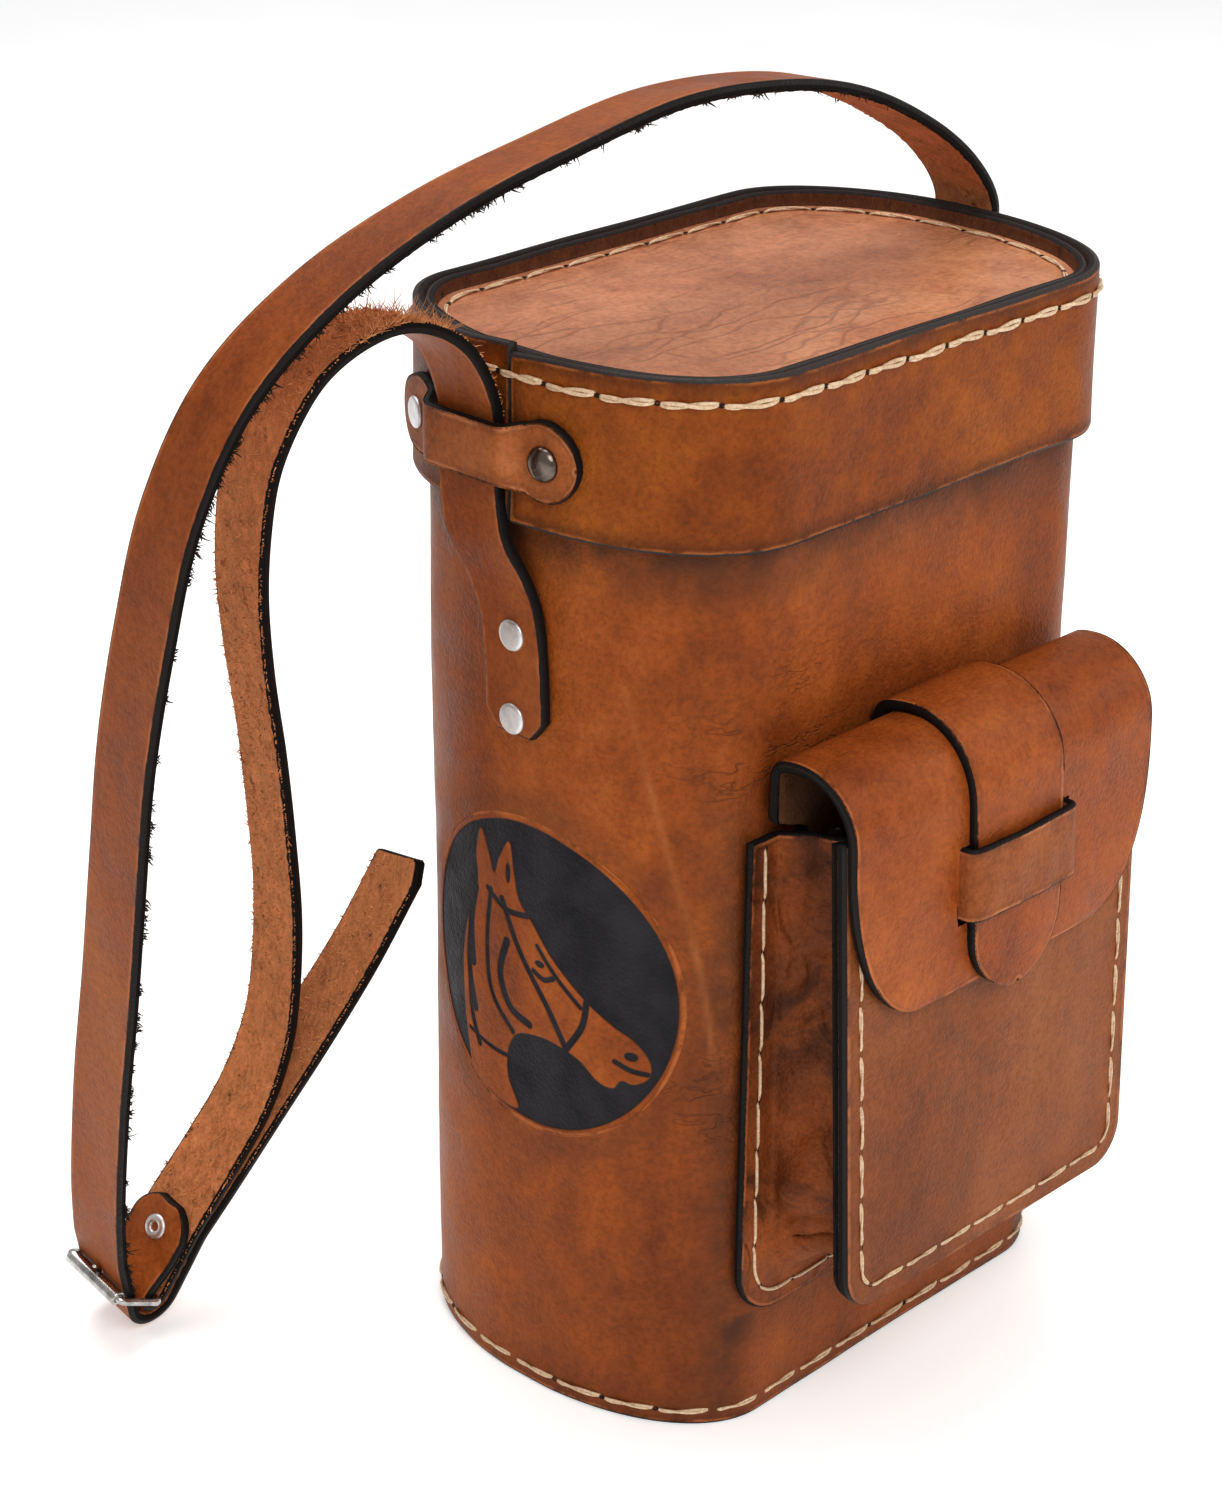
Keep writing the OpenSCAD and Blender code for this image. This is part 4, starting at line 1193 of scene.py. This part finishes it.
# ---------- lid ----------
def lid_wall():
    """The lid's band, an open strip whose two ends meet at a seam on the near end."""
    plan = Plan(LID_IN + WALL_T / 2)
    seam = plan.total / 2 + 1.0
    rows, cols = 36, 400
    s = seam + np.linspace(0.25, plan.total - 0.25, cols)[None]
    k = np.linspace(0, 1, rows)[:, None]
    k, s = np.broadcast_arrays(k, s)
    before = ease(1 - (seam + plan.total - s) / 26)
    after = ease(1 - (s - seam) / 16)
    p, _ = plan.wall(s, LID_Z0 + k * (LID_Z1 - LID_Z0))
    off = 0.7 * (1 - k) ** 3 + 0.28 * wobble(p, 70, 51) * (1 - 0.6 * k) + 0.9 * after
    grid, _ = plan.wall(s, p[..., 2], np.maximum(off, -0.15))
    grid[..., 2] += 1.5 * before * k - 0.6 * after * k + 0.35 * wobble(p, 90, 52) * k
    grid[..., 2] -= 0.9 * (1 - k) * (0.5 + 0.5 * wobble(p, 120, 53))
    obj = leather("lid_band", grid, WALL_T, "lid", side=-1)
    place(obj, "lid", ["lid_wall"])


def lid_panel():
    obj = panel("lid_top", PANEL_Z1, 4.0, LID_IN - 0.2, "top", 1.6, 0.6)
    place(obj, "lid", ["lid_panel"])


def lid_lining():
    """The top panel's turned-up border, which doubles the lid's rim."""
    plan = Plan(LID_IN - 1.5)
    rows, cols = 10, 360
    s = np.arange(cols)[None] * plan.total / cols
    k = np.linspace(0, 1, rows)[:, None]
    k, s = np.broadcast_arrays(k, s)
    p, _ = plan.wall(s, PANEL_Z1 - 0.6 + k * (LID_Z1 - PANEL_Z1))
    off = 0.2 * wobble(p, 30, 58) - 1.3 * (1 - k) ** 3
    grid, _ = plan.wall(s, p[..., 2] + 0.3 * wobble(p, 45, 57) * k, off)
    obj = leather("lid_rim_lining", grid, 2.8, "lid", side=-1, closed=True)
    place(obj, "lid")


def keeper(suffix, mirror):
    """The dog-bone band that holds the strap against the lid."""
    back, fore = KEEPER_RIVET_Y
    centre = (back + fore) / 2
    lobe = np.sin(np.linspace(0, math.pi / 2, 16)) * KEEPER_R
    y = np.concatenate([back - lobe[::-1], np.linspace(back, fore, 56)[1:-1], fore + lobe])
    from_lobe = np.minimum(np.abs(y - back), np.abs(y - fore))
    outside = (y < back) | (y > fore)
    waist, blend = 8.8, 6
    lobed = outside | (from_lobe < blend)
    half = np.where(lobed, np.sqrt(np.maximum(KEEPER_R ** 2 - from_lobe ** 2, 0.05)), 0)
    narrow = waist + 1.6 * ease(1 - (from_lobe - blend) / 8)
    half = np.where(outside, half, np.maximum(half, narrow))
    over = STRAP_X + STRAP_T / 2 + 0.5 + KEEPER_T / 2

    def outer(yy, off):
        t = np.arcsin(np.clip((np.abs(yy) - MID_Y) / (CORNER_Y + off), 0, 1))
        n = unit(np.stack([np.cos(t) / CORNER_X, np.sin(t) / CORNER_Y], -1))
        return MID_X + CORNER_X * np.cos(t) + off * n[..., 0]

    arch = 1 - ease((np.abs(y - centre) - STRAP_W / 2 - 2.2) / 6)
    base_x = outer(y, LID_OUT + 0.25 + KEEPER_T / 2)
    x = base_x + (over - base_x) * arch
    rows = crowded(26, 1.35)
    grid = np.stack([np.repeat(-x[:, None], 26, 1), np.repeat(y[:, None], 26, 1),
                     KEEPER_Z + half[:, None] * rows[None]], -1)
    line = smoothed(np.stack([-x, y, 0 * x], 1), 3)
    grid[..., 0], grid[..., 1] = line[:, :1], line[:, 1:2]
    pinch = 0.5 * np.exp(-(from_lobe / 4.5) ** 2)
    grid[..., 0] += pinch[:, None] - 0.35 * (1 - rows[None] ** 2) * arch[:, None]
    if mirror:
        grid[..., 0] *= -1
    obj = leather("keeper_" + suffix + "_leather", grid, KEEPER_T + 0.5, "loop",
                  side=1 if mirror else -1)
    place(obj, "lid", ["keeper_" + suffix])


def end_axis(off, y, mirror):
    """A point on an end wall at offset off, and the outward normal there."""
    t = math.asin(max((abs(y) - MID_Y) / CORNER_Y, 0))
    n = unit(np.array([math.cos(t) / CORNER_X, math.sin(t) / CORNER_Y]))
    x = MID_X + CORNER_X * math.cos(t) + off * n[0]
    sign = 1 if mirror else -1
    return (np.array([sign * x, y + math.copysign(off * n[1], y), 0]),
            np.array([sign * n[0], math.copysign(n[1], y), 0]))


FLAT_HEAD = [(0, -0.4), (4.5, -0.4), (4.75, 0.1), (4.8, 0.55), (4.6, 0.95), (4.2, 1.18),
             (3.6, 1.27), (2.4, 1.32), (1.2, 1.34), (0, 1.34)]
DOME_HEAD = [(0, -0.4), (4.9, -0.4), (5.2, 0.1), (5.1, 0.7), (4.6, 1.5), (3.8, 2.15), (2.7, 2.6),
             (1.4, 2.82), (0, 2.88)]
BACK_CAP = [(0, -0.9), (3.6, -0.9), (4.1, -0.6), (4.2, -0.2), (4.0, 0), (0, 0)]


ROOT_HEAD = [(0, 0), (4, 0), (4, 0.5), (3.6, 0.8), (0, 0.9)]
ROOT_RIVET_X, ROOT_RIVET_Z = (-45, 0, 45), 194
TAB_RIVET_Y = -0.8


def tab_rivets(suffix, sign):
    parts = []
    for z in TAB_RIVET_Z:
        head = (sign * (TAB_X + STRAP_T / 2 - 0.1), TAB_RIVET_Y, z)
        back = (sign * (CASE_L / 2 - WALL_T), TAB_RIVET_Y, z)
        parts.append((*lathe(FLAT_HEAD, head, (sign, 0, 0)), 0))
        parts.append((*lathe(BACK_CAP, back, (sign, 0, 0)), 0))
    obj = join("tab_rivets_" + suffix + "_caps", parts, ["cap"])
    place(obj, "case", ["tab_rivets_" + suffix])


def keeper_rivets(suffix, mirror):
    """A dark domed rivet and a flat plated one."""
    parts = []
    for index, (y, head) in enumerate(zip(KEEPER_RIVET_Y, (DOME_HEAD, FLAT_HEAD))):
        origin, normal = end_axis(LID_OUT + 0.25 + KEEPER_T + 0.1, y, mirror)
        origin[2] = KEEPER_Z
        parts.append((*lathe(head, origin, normal), index))
    metals = ["dark_nickel", "cap"]
    obj = join("keeper_rivets_" + suffix + "_caps", parts, metals)
    place(obj, "lid", ["keeper_rivets_" + suffix])


def root_rivets():
    """The rivets that hold the flap and the tongue to the wall."""
    parts = []
    forwards = (0, -1, 0)
    for x in ROOT_RIVET_X:
        seat = POUCH_Y - 0.05 - 2 * LEAF_STEP
        parts.append((*lathe(BACK_CAP, (x, POUCH_Y + WALL_T, ROOT_RIVET_Z), forwards), 0))
        parts.append((*lathe(ROOT_HEAD, (x, seat, ROOT_RIVET_Z), forwards), 0))
    place(join("root_rivet_caps", parts, ["cap"]), "case", ["root_rivets"])


# ---------- shoulder strap ----------
TAB_ROUTE = [(-TAB_X, -1, 224, 0, 0), (-TAB_X, -0.8, 240, 0, 0), (-TAB_X, 1, 259, 0, 0),
             (-TAB_X - 1.2, 5, 271, 0, 0), (-STRAP_X, 10, 284, 0, 0), (-STRAP_X, 12.5, 296, 0, 0),
             (-STRAP_X, STRAP_Y, SPLIT_Z + 1.5, 0, 0)]
SHORT_ROUTE = [(-STRAP_X, STRAP_Y, SPLIT_Z + 0.4, 0, 0), (-STRAP_X - 0.4, 13, 323, 0, 0),
               (-114, 14, 338, -2, 2), (-123, 16, 346, -6, 4), (-135, 18, 350, -6, 6),
               (-147, 21, 348, -3, 8), (-157, 26, 341, 2, 8), (-163, 31, 330, 6, 8),
               (-166, 37, 315, 9, 8), (-166, 42, 297, 10, 8), (-163, 48, 274, 12, 8),
               (-155, 56, 246, 14, 8), (-144, 65, 214, 14, 8), (-134, 74, 180, 14, 8),
               (-126, 82, 148, 14, 8), (-122, 89, 118, 14, 8), (-123, 93, 96, 14, 8),
               (-129, 98, 74, 14, 6), (-139, 104, 54, 14, 4), (-151, 108.5, 36, 14, 0)]
LONG_ROUTE = [(STRAP_X, STRAP_Y, SPLIT_Z + 0.4, 0, 0), (STRAP_X + 0.4, 12.5, 323, 0, 0),
              (111, 11, 339, 0, 0), (100, 11, 355, 0, 0), (80, 12, 370, -1, 0), (48, 12, 385, -2, 0),
              (10, 9, 394, -4, 0), (-37, 7, 397, -6, 2), (-81, 7, 391, -5, 4), (-121, 11, 381, -3, 6),
              (-155, 20, 363, 1, 6), (-181, 29, 338, 5, 5), (-196, 36, 306, 8, 4),
              (-202, 43, 270, 12, 3), (-203, 53, 231, 15, 3), (-200, 64, 190, 17, 2),
              (-196, 76, 148, 17, 1), (-192, 89, 105, 15, 0), (-187, 101, 62, 14, 0),
              (-182, 108.5, 36, 14, 0)]
TAIL_ROUTE = [(-148, 110, 31, 14, 4), (-135.5, 104, 50, 14, 8), (-123, 95, 74, 14, 12),
              (-112.5, 84, 99, 14, 16), (-102.5, 72, 127, 14, 18), (-95, 62, 153, 14, 18),
              (-92, 58, 163.5, 14, 18)]


def buckle_point(p, q):
    """A point on the buckle's middle plane: p along the case, q up the loop."""
    return BUCKLE_AT + np.array([p, -q * math.sin(BUCKLE_TILT), q * math.cos(BUCKLE_TILT)])


def turn(r, start, end, steps):
    """Route points round the buckle's fixed bar."""
    rows = []
    for t in np.linspace(start, end, steps + 1):
        p = buckle_point(r * math.cos(t), r * math.sin(t))
        rows.append((*p, math.degrees(BUCKLE_TILT), 0))
    return rows


def fold_point(s):
    """Where the strap's folded leg is, s along it from the bar, in the buckle's plane."""
    gap = 2 * FOLD_R - STRAP_T - 0.3
    lift = FOLD_R - gap * float(ease(s / 14))
    return (s * math.sin(FOLD_A) - lift * math.cos(FOLD_A),
            s * math.cos(FOLD_A) + lift * math.sin(FOLD_A))


def band(route, left, right, cols):
    """Grid of a strap along route rows [x, y, z, tilt, yaw], and its normals."""
    path = route[:, :3]
    tangent = unit(np.gradient(path, axis=0))
    tilt, yaw = np.radians(route[:, 3]), np.radians(route[:, 4])
    lean = np.stack([np.sin(yaw) * np.cos(tilt), np.cos(yaw) * np.cos(tilt), np.sin(tilt)], 1)
    across = unit(lean - np.sum(lean * tangent, 1, keepdims=True) * tangent)
    w = -right[:, None] + (left + right)[:, None] * np.linspace(0, 1, cols)[None]
    return path[:, None] + across[:, None] * w[..., None], np.cross(across, tangent)


def strap(node, routes, side, ends, body, blend=None):
    """A strap of leather along its routes, which stands for a CAD node. ends gives its
    half-widths. Returns the piece, its grid, its flesh side's direction and its length."""
    line = evenly(smoothed(evenly(np.vstack(routes), 0.6), 10), 1.0)
    s = lengths(line[:, :3])
    left, right = ends(s, s[-1])
    grid, normal = band(line, left, right, 22)
    fuzz = 0.32 * (0.6 * wobble(grid, 2.6, 61) + 0.5 * wobble(grid, 6.5, 62))
    taper = ease(np.minimum(s, s[-1] - s) / 6)[:, None]
    obj = leather(node + "_leather", grid, STRAP_T, "strap", side=side,
                  bottom=fuzz * taper, bevel=0.22)
    place(obj, body, [node], blend)
    return obj, grid, -normal * side, s[-1]


# The ends of the straps: half-widths to the left and right at s along a length of total
def tab_end(s, total):
    half = STRAP_W / 2 - 5 * np.clip(1 - s / 6.0, 0, 1)
    return half, half


def fold_end(s, total):
    half = corner_half(total - s + 0.6, STRAP_W / 2, 11.5)
    return half, half


def tail_end(s, total):
    slope, point, trim = 13.0, 5.0, 4.0
    cut = STRAP_W * np.clip((total - s) / slope, 0, 1) - STRAP_W / 2 + point
    left = np.clip(cut, -STRAP_W / 2 + point, STRAP_W / 2)
    right = STRAP_W / 2 - trim * np.clip(1 - (total - s) / 6.0, 0, 1)
    return left, right


def straps():
    """The four lengths of strap. Returns the short strap's and the long strap's data."""
    step = 10
    tab = spline(TAB_ROUTE, step)
    blend = ("lid", (0, 0, 0.262), (0, 0, 0.298))
    strap("strap_tab_near", [tab], 1, tab_end, "case", blend)
    strap("strap_tab_far", [tab * np.array([-1, 1, 1, 1, 1])], -1, tab_end, "case", blend)
    fold = turn(FOLD_R, -FOLD_A, -math.pi - FOLD_A, 16)
    leg = [(*buckle_point(*fold_point(s)), math.degrees(BUCKLE_TILT), 0) for s in range(3, 31, 3)]
    short = strap("strap_short", [spline(SHORT_ROUTE, step), fold, leg], 1, fold_end, "lid")
    loop = turn(TURN_R, math.radians(197), 2 * math.pi - FOLD_A, 16)
    long = strap("strap_long", [spline(LONG_ROUTE, step), loop, spline(TAIL_ROUTE, step)],
                 -1, tail_end, "lid")
    return short, long


def fibres(name, strap_data, count, seed, span, edge_share, length, material, thick=1.0, clumps=0):
    """Loose fibres that stand off a strap's flesh side and its cut edges."""
    _, grid, normal, total = strap_data
    rng = np.random.default_rng(seed)
    s = rng.uniform(span[0], span[1], count) * total
    if clumps:
        middle = rng.uniform(span[0], span[1], clumps) * total
        s = middle[rng.integers(0, clumps, count)] + rng.normal(0, 1.1, count)
    on_edge = rng.uniform(size=count) < edge_share
    which_edge = np.where(rng.uniform(size=count) < 0.75, 0.0, 1.0)
    k = np.where(on_edge, which_edge, rng.uniform(0.02, 0.98, count))
    i = np.clip((s / total * (len(grid) - 1)).astype(int), 1, len(grid) - 2)
    low, high = grid[i, 0], grid[i, -1]
    root = low + (high - low) * k[:, None]
    out = unit(low - high) * np.where(k < 0.5, 1, -1)[:, None]
    middle_col = grid.shape[1] // 2 - 1
    lengthways = unit(grid[i + 1, middle_col] - grid[i - 1, middle_col])
    n = normal[i]
    root = root - n * (STRAP_T / 2 * np.where(on_edge, 0.75, 0.98))[:, None]
    aim = -n * rng.uniform(0.3, 1.0, count)[:, None]
    aim = aim + lengthways * rng.normal(0, 0.7, count)[:, None]
    aim = unit(aim + out * np.where(on_edge, 0.7, 0.0)[:, None] + rng.normal(0, 0.25, (count, 3)))
    size = length * rng.gamma(2.2, 0.42, count)
    bend = unit(rng.normal(size=(count, 3)))
    t = np.linspace(0, 1, 5)
    path = root[:, None] + aim[:, None] * (size[:, None] * t)[..., None]
    path = path + bend[:, None] * (0.35 * size[:, None] * t ** 2)[..., None]
    radii = thick * rng.uniform(0.07, 0.20, (count, 1)) * (1 - 0.75 * t)[None]
    ups = np.broadcast_to(unit(rng.normal(size=(count, 1, 3))), path.shape)
    v, f = tube_arrays(path, radii, ups, 4)
    place(new_object(name, v, f, [material]), "lid")


# ---------- buckle ----------
def in_buckle(p, y, q):
    """Points given in the buckle's own axes: along the case, along the bar, up the loop."""
    p, y, q = np.broadcast_arrays(p, y, q)
    c, s = math.cos(BUCKLE_TILT), math.sin(BUCKLE_TILT)
    return BUCKLE_AT + np.stack([p, y * c - q * s, y * s + q * c], -1)


BAR_AXIS = in_buckle(0, 1, 0) - BUCKLE_AT


def ring_tube(centre, radii, up, sides, closed):
    """One tube along centre, with up as the direction its rings are turned by."""
    return tube_arrays(centre[None], radii[None], np.broadcast_to(up, centre[None].shape), sides,
                       closed=closed)


def buckle_wire():
    """The frame: one bent wire, thicker at its fixed bar."""
    cos_a, sin_a = math.cos(FRAME_A), math.sin(FRAME_A)
    r = 2.2
    right, top = FRAME_L - r, ARM_Y - r
    outline = np.vstack([arc(r, -top, r, 180, 270, 8), arc(right, -top, r, 270, 360, 8),
                         arc(right, top, r, 0, 90, 8), arc(r, top, r, 90, 180, 8)])
    outline = evenly(in_3d(np.vstack([outline, outline[:1]])), 1.0)[:-1]
    centre = in_buckle(outline[:, 0] * cos_a, outline[:, 1], outline[:, 0] * sin_a)
    up = in_buckle(-sin_a, 0, cos_a) - BUCKLE_AT
    wire = BAR_R + (ARM_R - BAR_R) * ease(outline[:, 0] / 4)
    v, f = ring_tube(centre, wire, up, 16, True)
    place(new_object("buckle_wire", v, f, ["nickel"]), "buckle",
          ["buckle_frame"])


def buckle_sleeve():
    """The roller that turns on the frame's far side."""
    half = ARM_Y - ARM_R - 0.25
    inner = ARM_R + 0.1
    edge, rim = 0.3, 1.2
    profile = [(inner, -half + edge), (inner + 0.25, -half), (ROLLER_R - edge, -half),
               (ROLLER_R, -half + edge), (ROLLER_R, -half + rim), (ROLLER_R + 0.02, 0),
               (ROLLER_R, half - rim), (ROLLER_R, half - edge), (ROLLER_R - edge, half),
               (inner + 0.25, half), (inner, half - edge), (inner, -half + edge)]
    front = in_buckle(FRAME_L * math.cos(FRAME_A), 0, FRAME_L * math.sin(FRAME_A))
    sleeve = join("buckle_sleeve", [(*lathe(profile, front, BAR_AXIS, 36), 0)],
                  ["nickel"])
    place(sleeve, "roller", ["buckle_roller"])


def buckle_tongue():
    """The prong: an eye round the fixed bar and a pin that tapers to its tip."""
    spin = np.linspace(0, 2 * np.pi, 28, endpoint=False)
    eye_r, eye_wire = BAR_R + 0.65, 0.58
    eye = in_buckle(eye_r * np.cos(spin), 0, eye_r * np.sin(spin))
    rings = 24
    d = np.linspace(eye_r - 0.1, PRONG_L, rings)
    curve = 0.5 * np.sin(np.linspace(0, math.pi, rings))
    cos_a, sin_a = math.cos(PRONG_A), math.sin(PRONG_A)
    pin = in_buckle(d * cos_a - curve * sin_a, 0, d * sin_a + curve * cos_a)
    taper = 1.05 - 0.35 * ease((d - PRONG_L + 8) / 8)
    parts = [(*ring_tube(eye, np.full(len(spin), eye_wire), BAR_AXIS, 10, True), 0),
             (*ring_tube(pin, taper, BAR_AXIS, 12, False), 0)]
    obj = join("buckle_tongue", parts, ["nickel"])
    place(obj, "prong", ["buckle_prong"])


def fold_eyelet():
    """The ringed rivet that closes the short strap's fold, with a near-black disc in its hole as painted
    shade.
    """
    a = FOLD_A - math.pi / 2
    out = in_buckle(math.sin(a), 0, math.cos(a)) - BUCKLE_AT
    seat = buckle_point(*fold_point(20)) + out * STRAP_T / 2
    ring = [(1.5, -1.2), (1.5, 0.55), (1.9, 0.95), (2.8, 1.05), (3.7, 0.85), (4.2, 0.3),
            (4.2, 0.05), (2.4, 0.0), (2.0, -1.2), (1.5, -1.2)]
    hole = [(0, -0.6), (1.6, -0.6), (1.6, -0.4), (0, -0.4)]
    parts = [(*lathe(ring, seat, out), 0), (*lathe(hole, seat, out), 1)]
    obj = join("fold_eyelet", parts, ["cap", "awl_hole"])
    place(obj, "lid", ["fold_rivet"])


# ---------- stage ----------
def link(name, data):
    obj = bpy.data.objects.new(name, data)
    bpy.context.scene.collection.objects.link(obj)
    return obj


def floor():
    """A pale floor that glows a little, so that it stays as white as the photo's ground."""
    mesh = bpy.data.meshes.new("floor")
    size = 30.0
    corners = [(-size, -size, 0), (size, -size, 0), (size, size, 0), (-size, size, 0)]
    mesh.from_pydata(corners, [], [(0, 1, 2, 3)])
    s = Shader("pale_floor")
    n = s.noise(s.add("TexCoord").outputs["Object"], 3, 3)
    pale = s.ramp(n, [(0.3, (0.86, 0.86, 0.86)), (0.7, (0.90, 0.90, 0.90))])
    mesh.materials.append(s.finish(colour=pale, rough=0.6, glow=pale, glow_strength=0.42))
    link("floor", mesh)


def studio():
    """White surroundings and three soft lights: name, place, size and power."""
    world = bpy.data.worlds.new("studio")
    world.use_nodes = True
    background = world.node_tree.nodes["Background"]
    background.inputs["Color"].default_value = (1, 1, 1, 1)
    background.inputs["Strength"].default_value = 0.54
    bpy.context.scene.world = world
    bpy.context.scene.view_settings.view_transform = "Standard"
    bpy.context.scene.view_settings.gamma = 0.87
    for name, at, size, power in (("key", (-0.7, -1.3, 1.5), 1.1, 16),
                                  ("top", (0.1, 0.5, 1.7), 1.3, 15),
                                  ("rim", (1.2, -0.9, 0.9), 0.9, 4)):
        light = bpy.data.lights.new(name, "AREA")
        light.shape = "DISK"
        light.size = size
        light.energy = power
        lamp = link(name, light)
        lamp.location = at
        aim = Vector((0, 0, 0.2)) - Vector(at)
        lamp.rotation_euler = aim.to_track_quat("-Z", "Y").to_euler()


def camera():
    """The photo's viewpoint: azimuth, elevation and roll, distance, target and lens."""
    azimuth, elevation, roll = (math.radians(v) for v in (-46.17, 24.24, 0.49))
    distance = 1031.7
    target = Vector((-42.8, 19.2, 192.9))
    back = Vector((math.sin(azimuth) * math.cos(elevation),
                   -math.cos(azimuth) * math.cos(elevation), math.sin(elevation)))
    x = Vector((0, 0, 1)).cross(back).normalized()
    y = back.cross(x)
    right = x * math.cos(roll) + y * math.sin(roll)
    up = y * math.cos(roll) - x * math.sin(roll)
    data = bpy.data.cameras.new("camera")
    data.lens = 80.15
    data.sensor_width = 36
    data.clip_start = 0.01
    cam = link("camera", data)
    matrix = Matrix((right, up, back)).transposed().to_4x4()
    matrix.translation = target * MM + back * distance * MM
    cam.matrix_world = matrix
    bpy.context.scene.camera = cam


# ---------- stitching ----------
def seams():
    """All the thread: round the base, the lid and its panel, and on both pouch seams."""
    base_seam = plan_stitches("base_thread", 0.15, 5.2, 0.75)
    place(base_seam, "case", ["base_stitching"])
    lid_seam = plan_stitches("lid_thread", LID_OUT + 0.3, LID_Z1 - 7.0, 1.05)
    place(lid_seam, "lid", ["lid_outer_stitching"])
    panel_seam = plan_stitches("lid_panel_thread", LID_IN - 6.2, PANEL_Z1 + 0.55, 0.62,
                               flat=True, phase=0.0)
    place(panel_seam, "lid", ["lid_panel_stitching"])

    in_by = 6.2
    route = u_line(POUCH_W / 2 - in_by, FRONT_Z0 + in_by, FRONT_Z1 - 3, 8, TAPER)
    top = np.array([[0, FRONT_Y, FRONT_Z1]])
    outward = leaning(top - np.array([0, 1, 0])) - leaning(top)
    front_seam = stitches("pouch_front_thread", on_front(route, FRONT_Y - 0.05),
                          np.repeat(outward, len(route), 0), POUCH_PITCH, 0.62, 2, slant=0.4)
    place(front_seam, "case", ["pouch_front_stitching"])

    in_by = 6.0
    route = u_line(FLANGE_W / 2 - in_by, BACK_Z0 + in_by, BACK_Z1 - 3, 13, 0)
    flange_seam = stitches("pouch_flange_thread", upright(route, POUCH_Y - 2.9),
                           np.tile([0.0, -1.0, 0.0], (len(route), 1)), POUCH_PITCH, 0.55, 1,
                           slant=0.5)
    place(flange_seam, "case", ["pouch_flange_stitching"])


# ---------- the whole ----------
camera()
floor()
studio()
case_wall()
tooled_round()
base()
divider()
gusset()
pouch_front()
flap()
tongue()
pouch_loop()
lid_wall()
lid_lining()
lid_panel()
for suffix, mirror in (("near", False), ("far", True)):
    keeper(suffix, mirror)
for suffix, mirror in (("near", False), ("far", True)):
    tab_rivets(suffix, 1 if mirror else -1)
    keeper_rivets(suffix, mirror)
root_rivets()
seams()
short, long = straps()
fibres("short_strap_nap", short, 6500, 71, (0.02, 0.92), 0.12, 0.75, "tan_fibre", thick=1.5)
fibres("short_strap_tuft", short, 700, 72, (0.085, 0.145), 0.45, 2.8, "tan_fibre", thick=1.2,
       clumps=40)
fibres("long_strap_fray", long, 1500, 73, (0.10, 0.78), 1.0, 1.0, "dark_fibre", thick=1.9,
       clumps=110)
fibres("tail_nap", long, 1600, 74, (0.86, 0.99), 0.12, 0.7, "tan_fibre", thick=1.5)
buckle_wire()
buckle_sleeve()
buckle_tongue()
fold_eyelet()
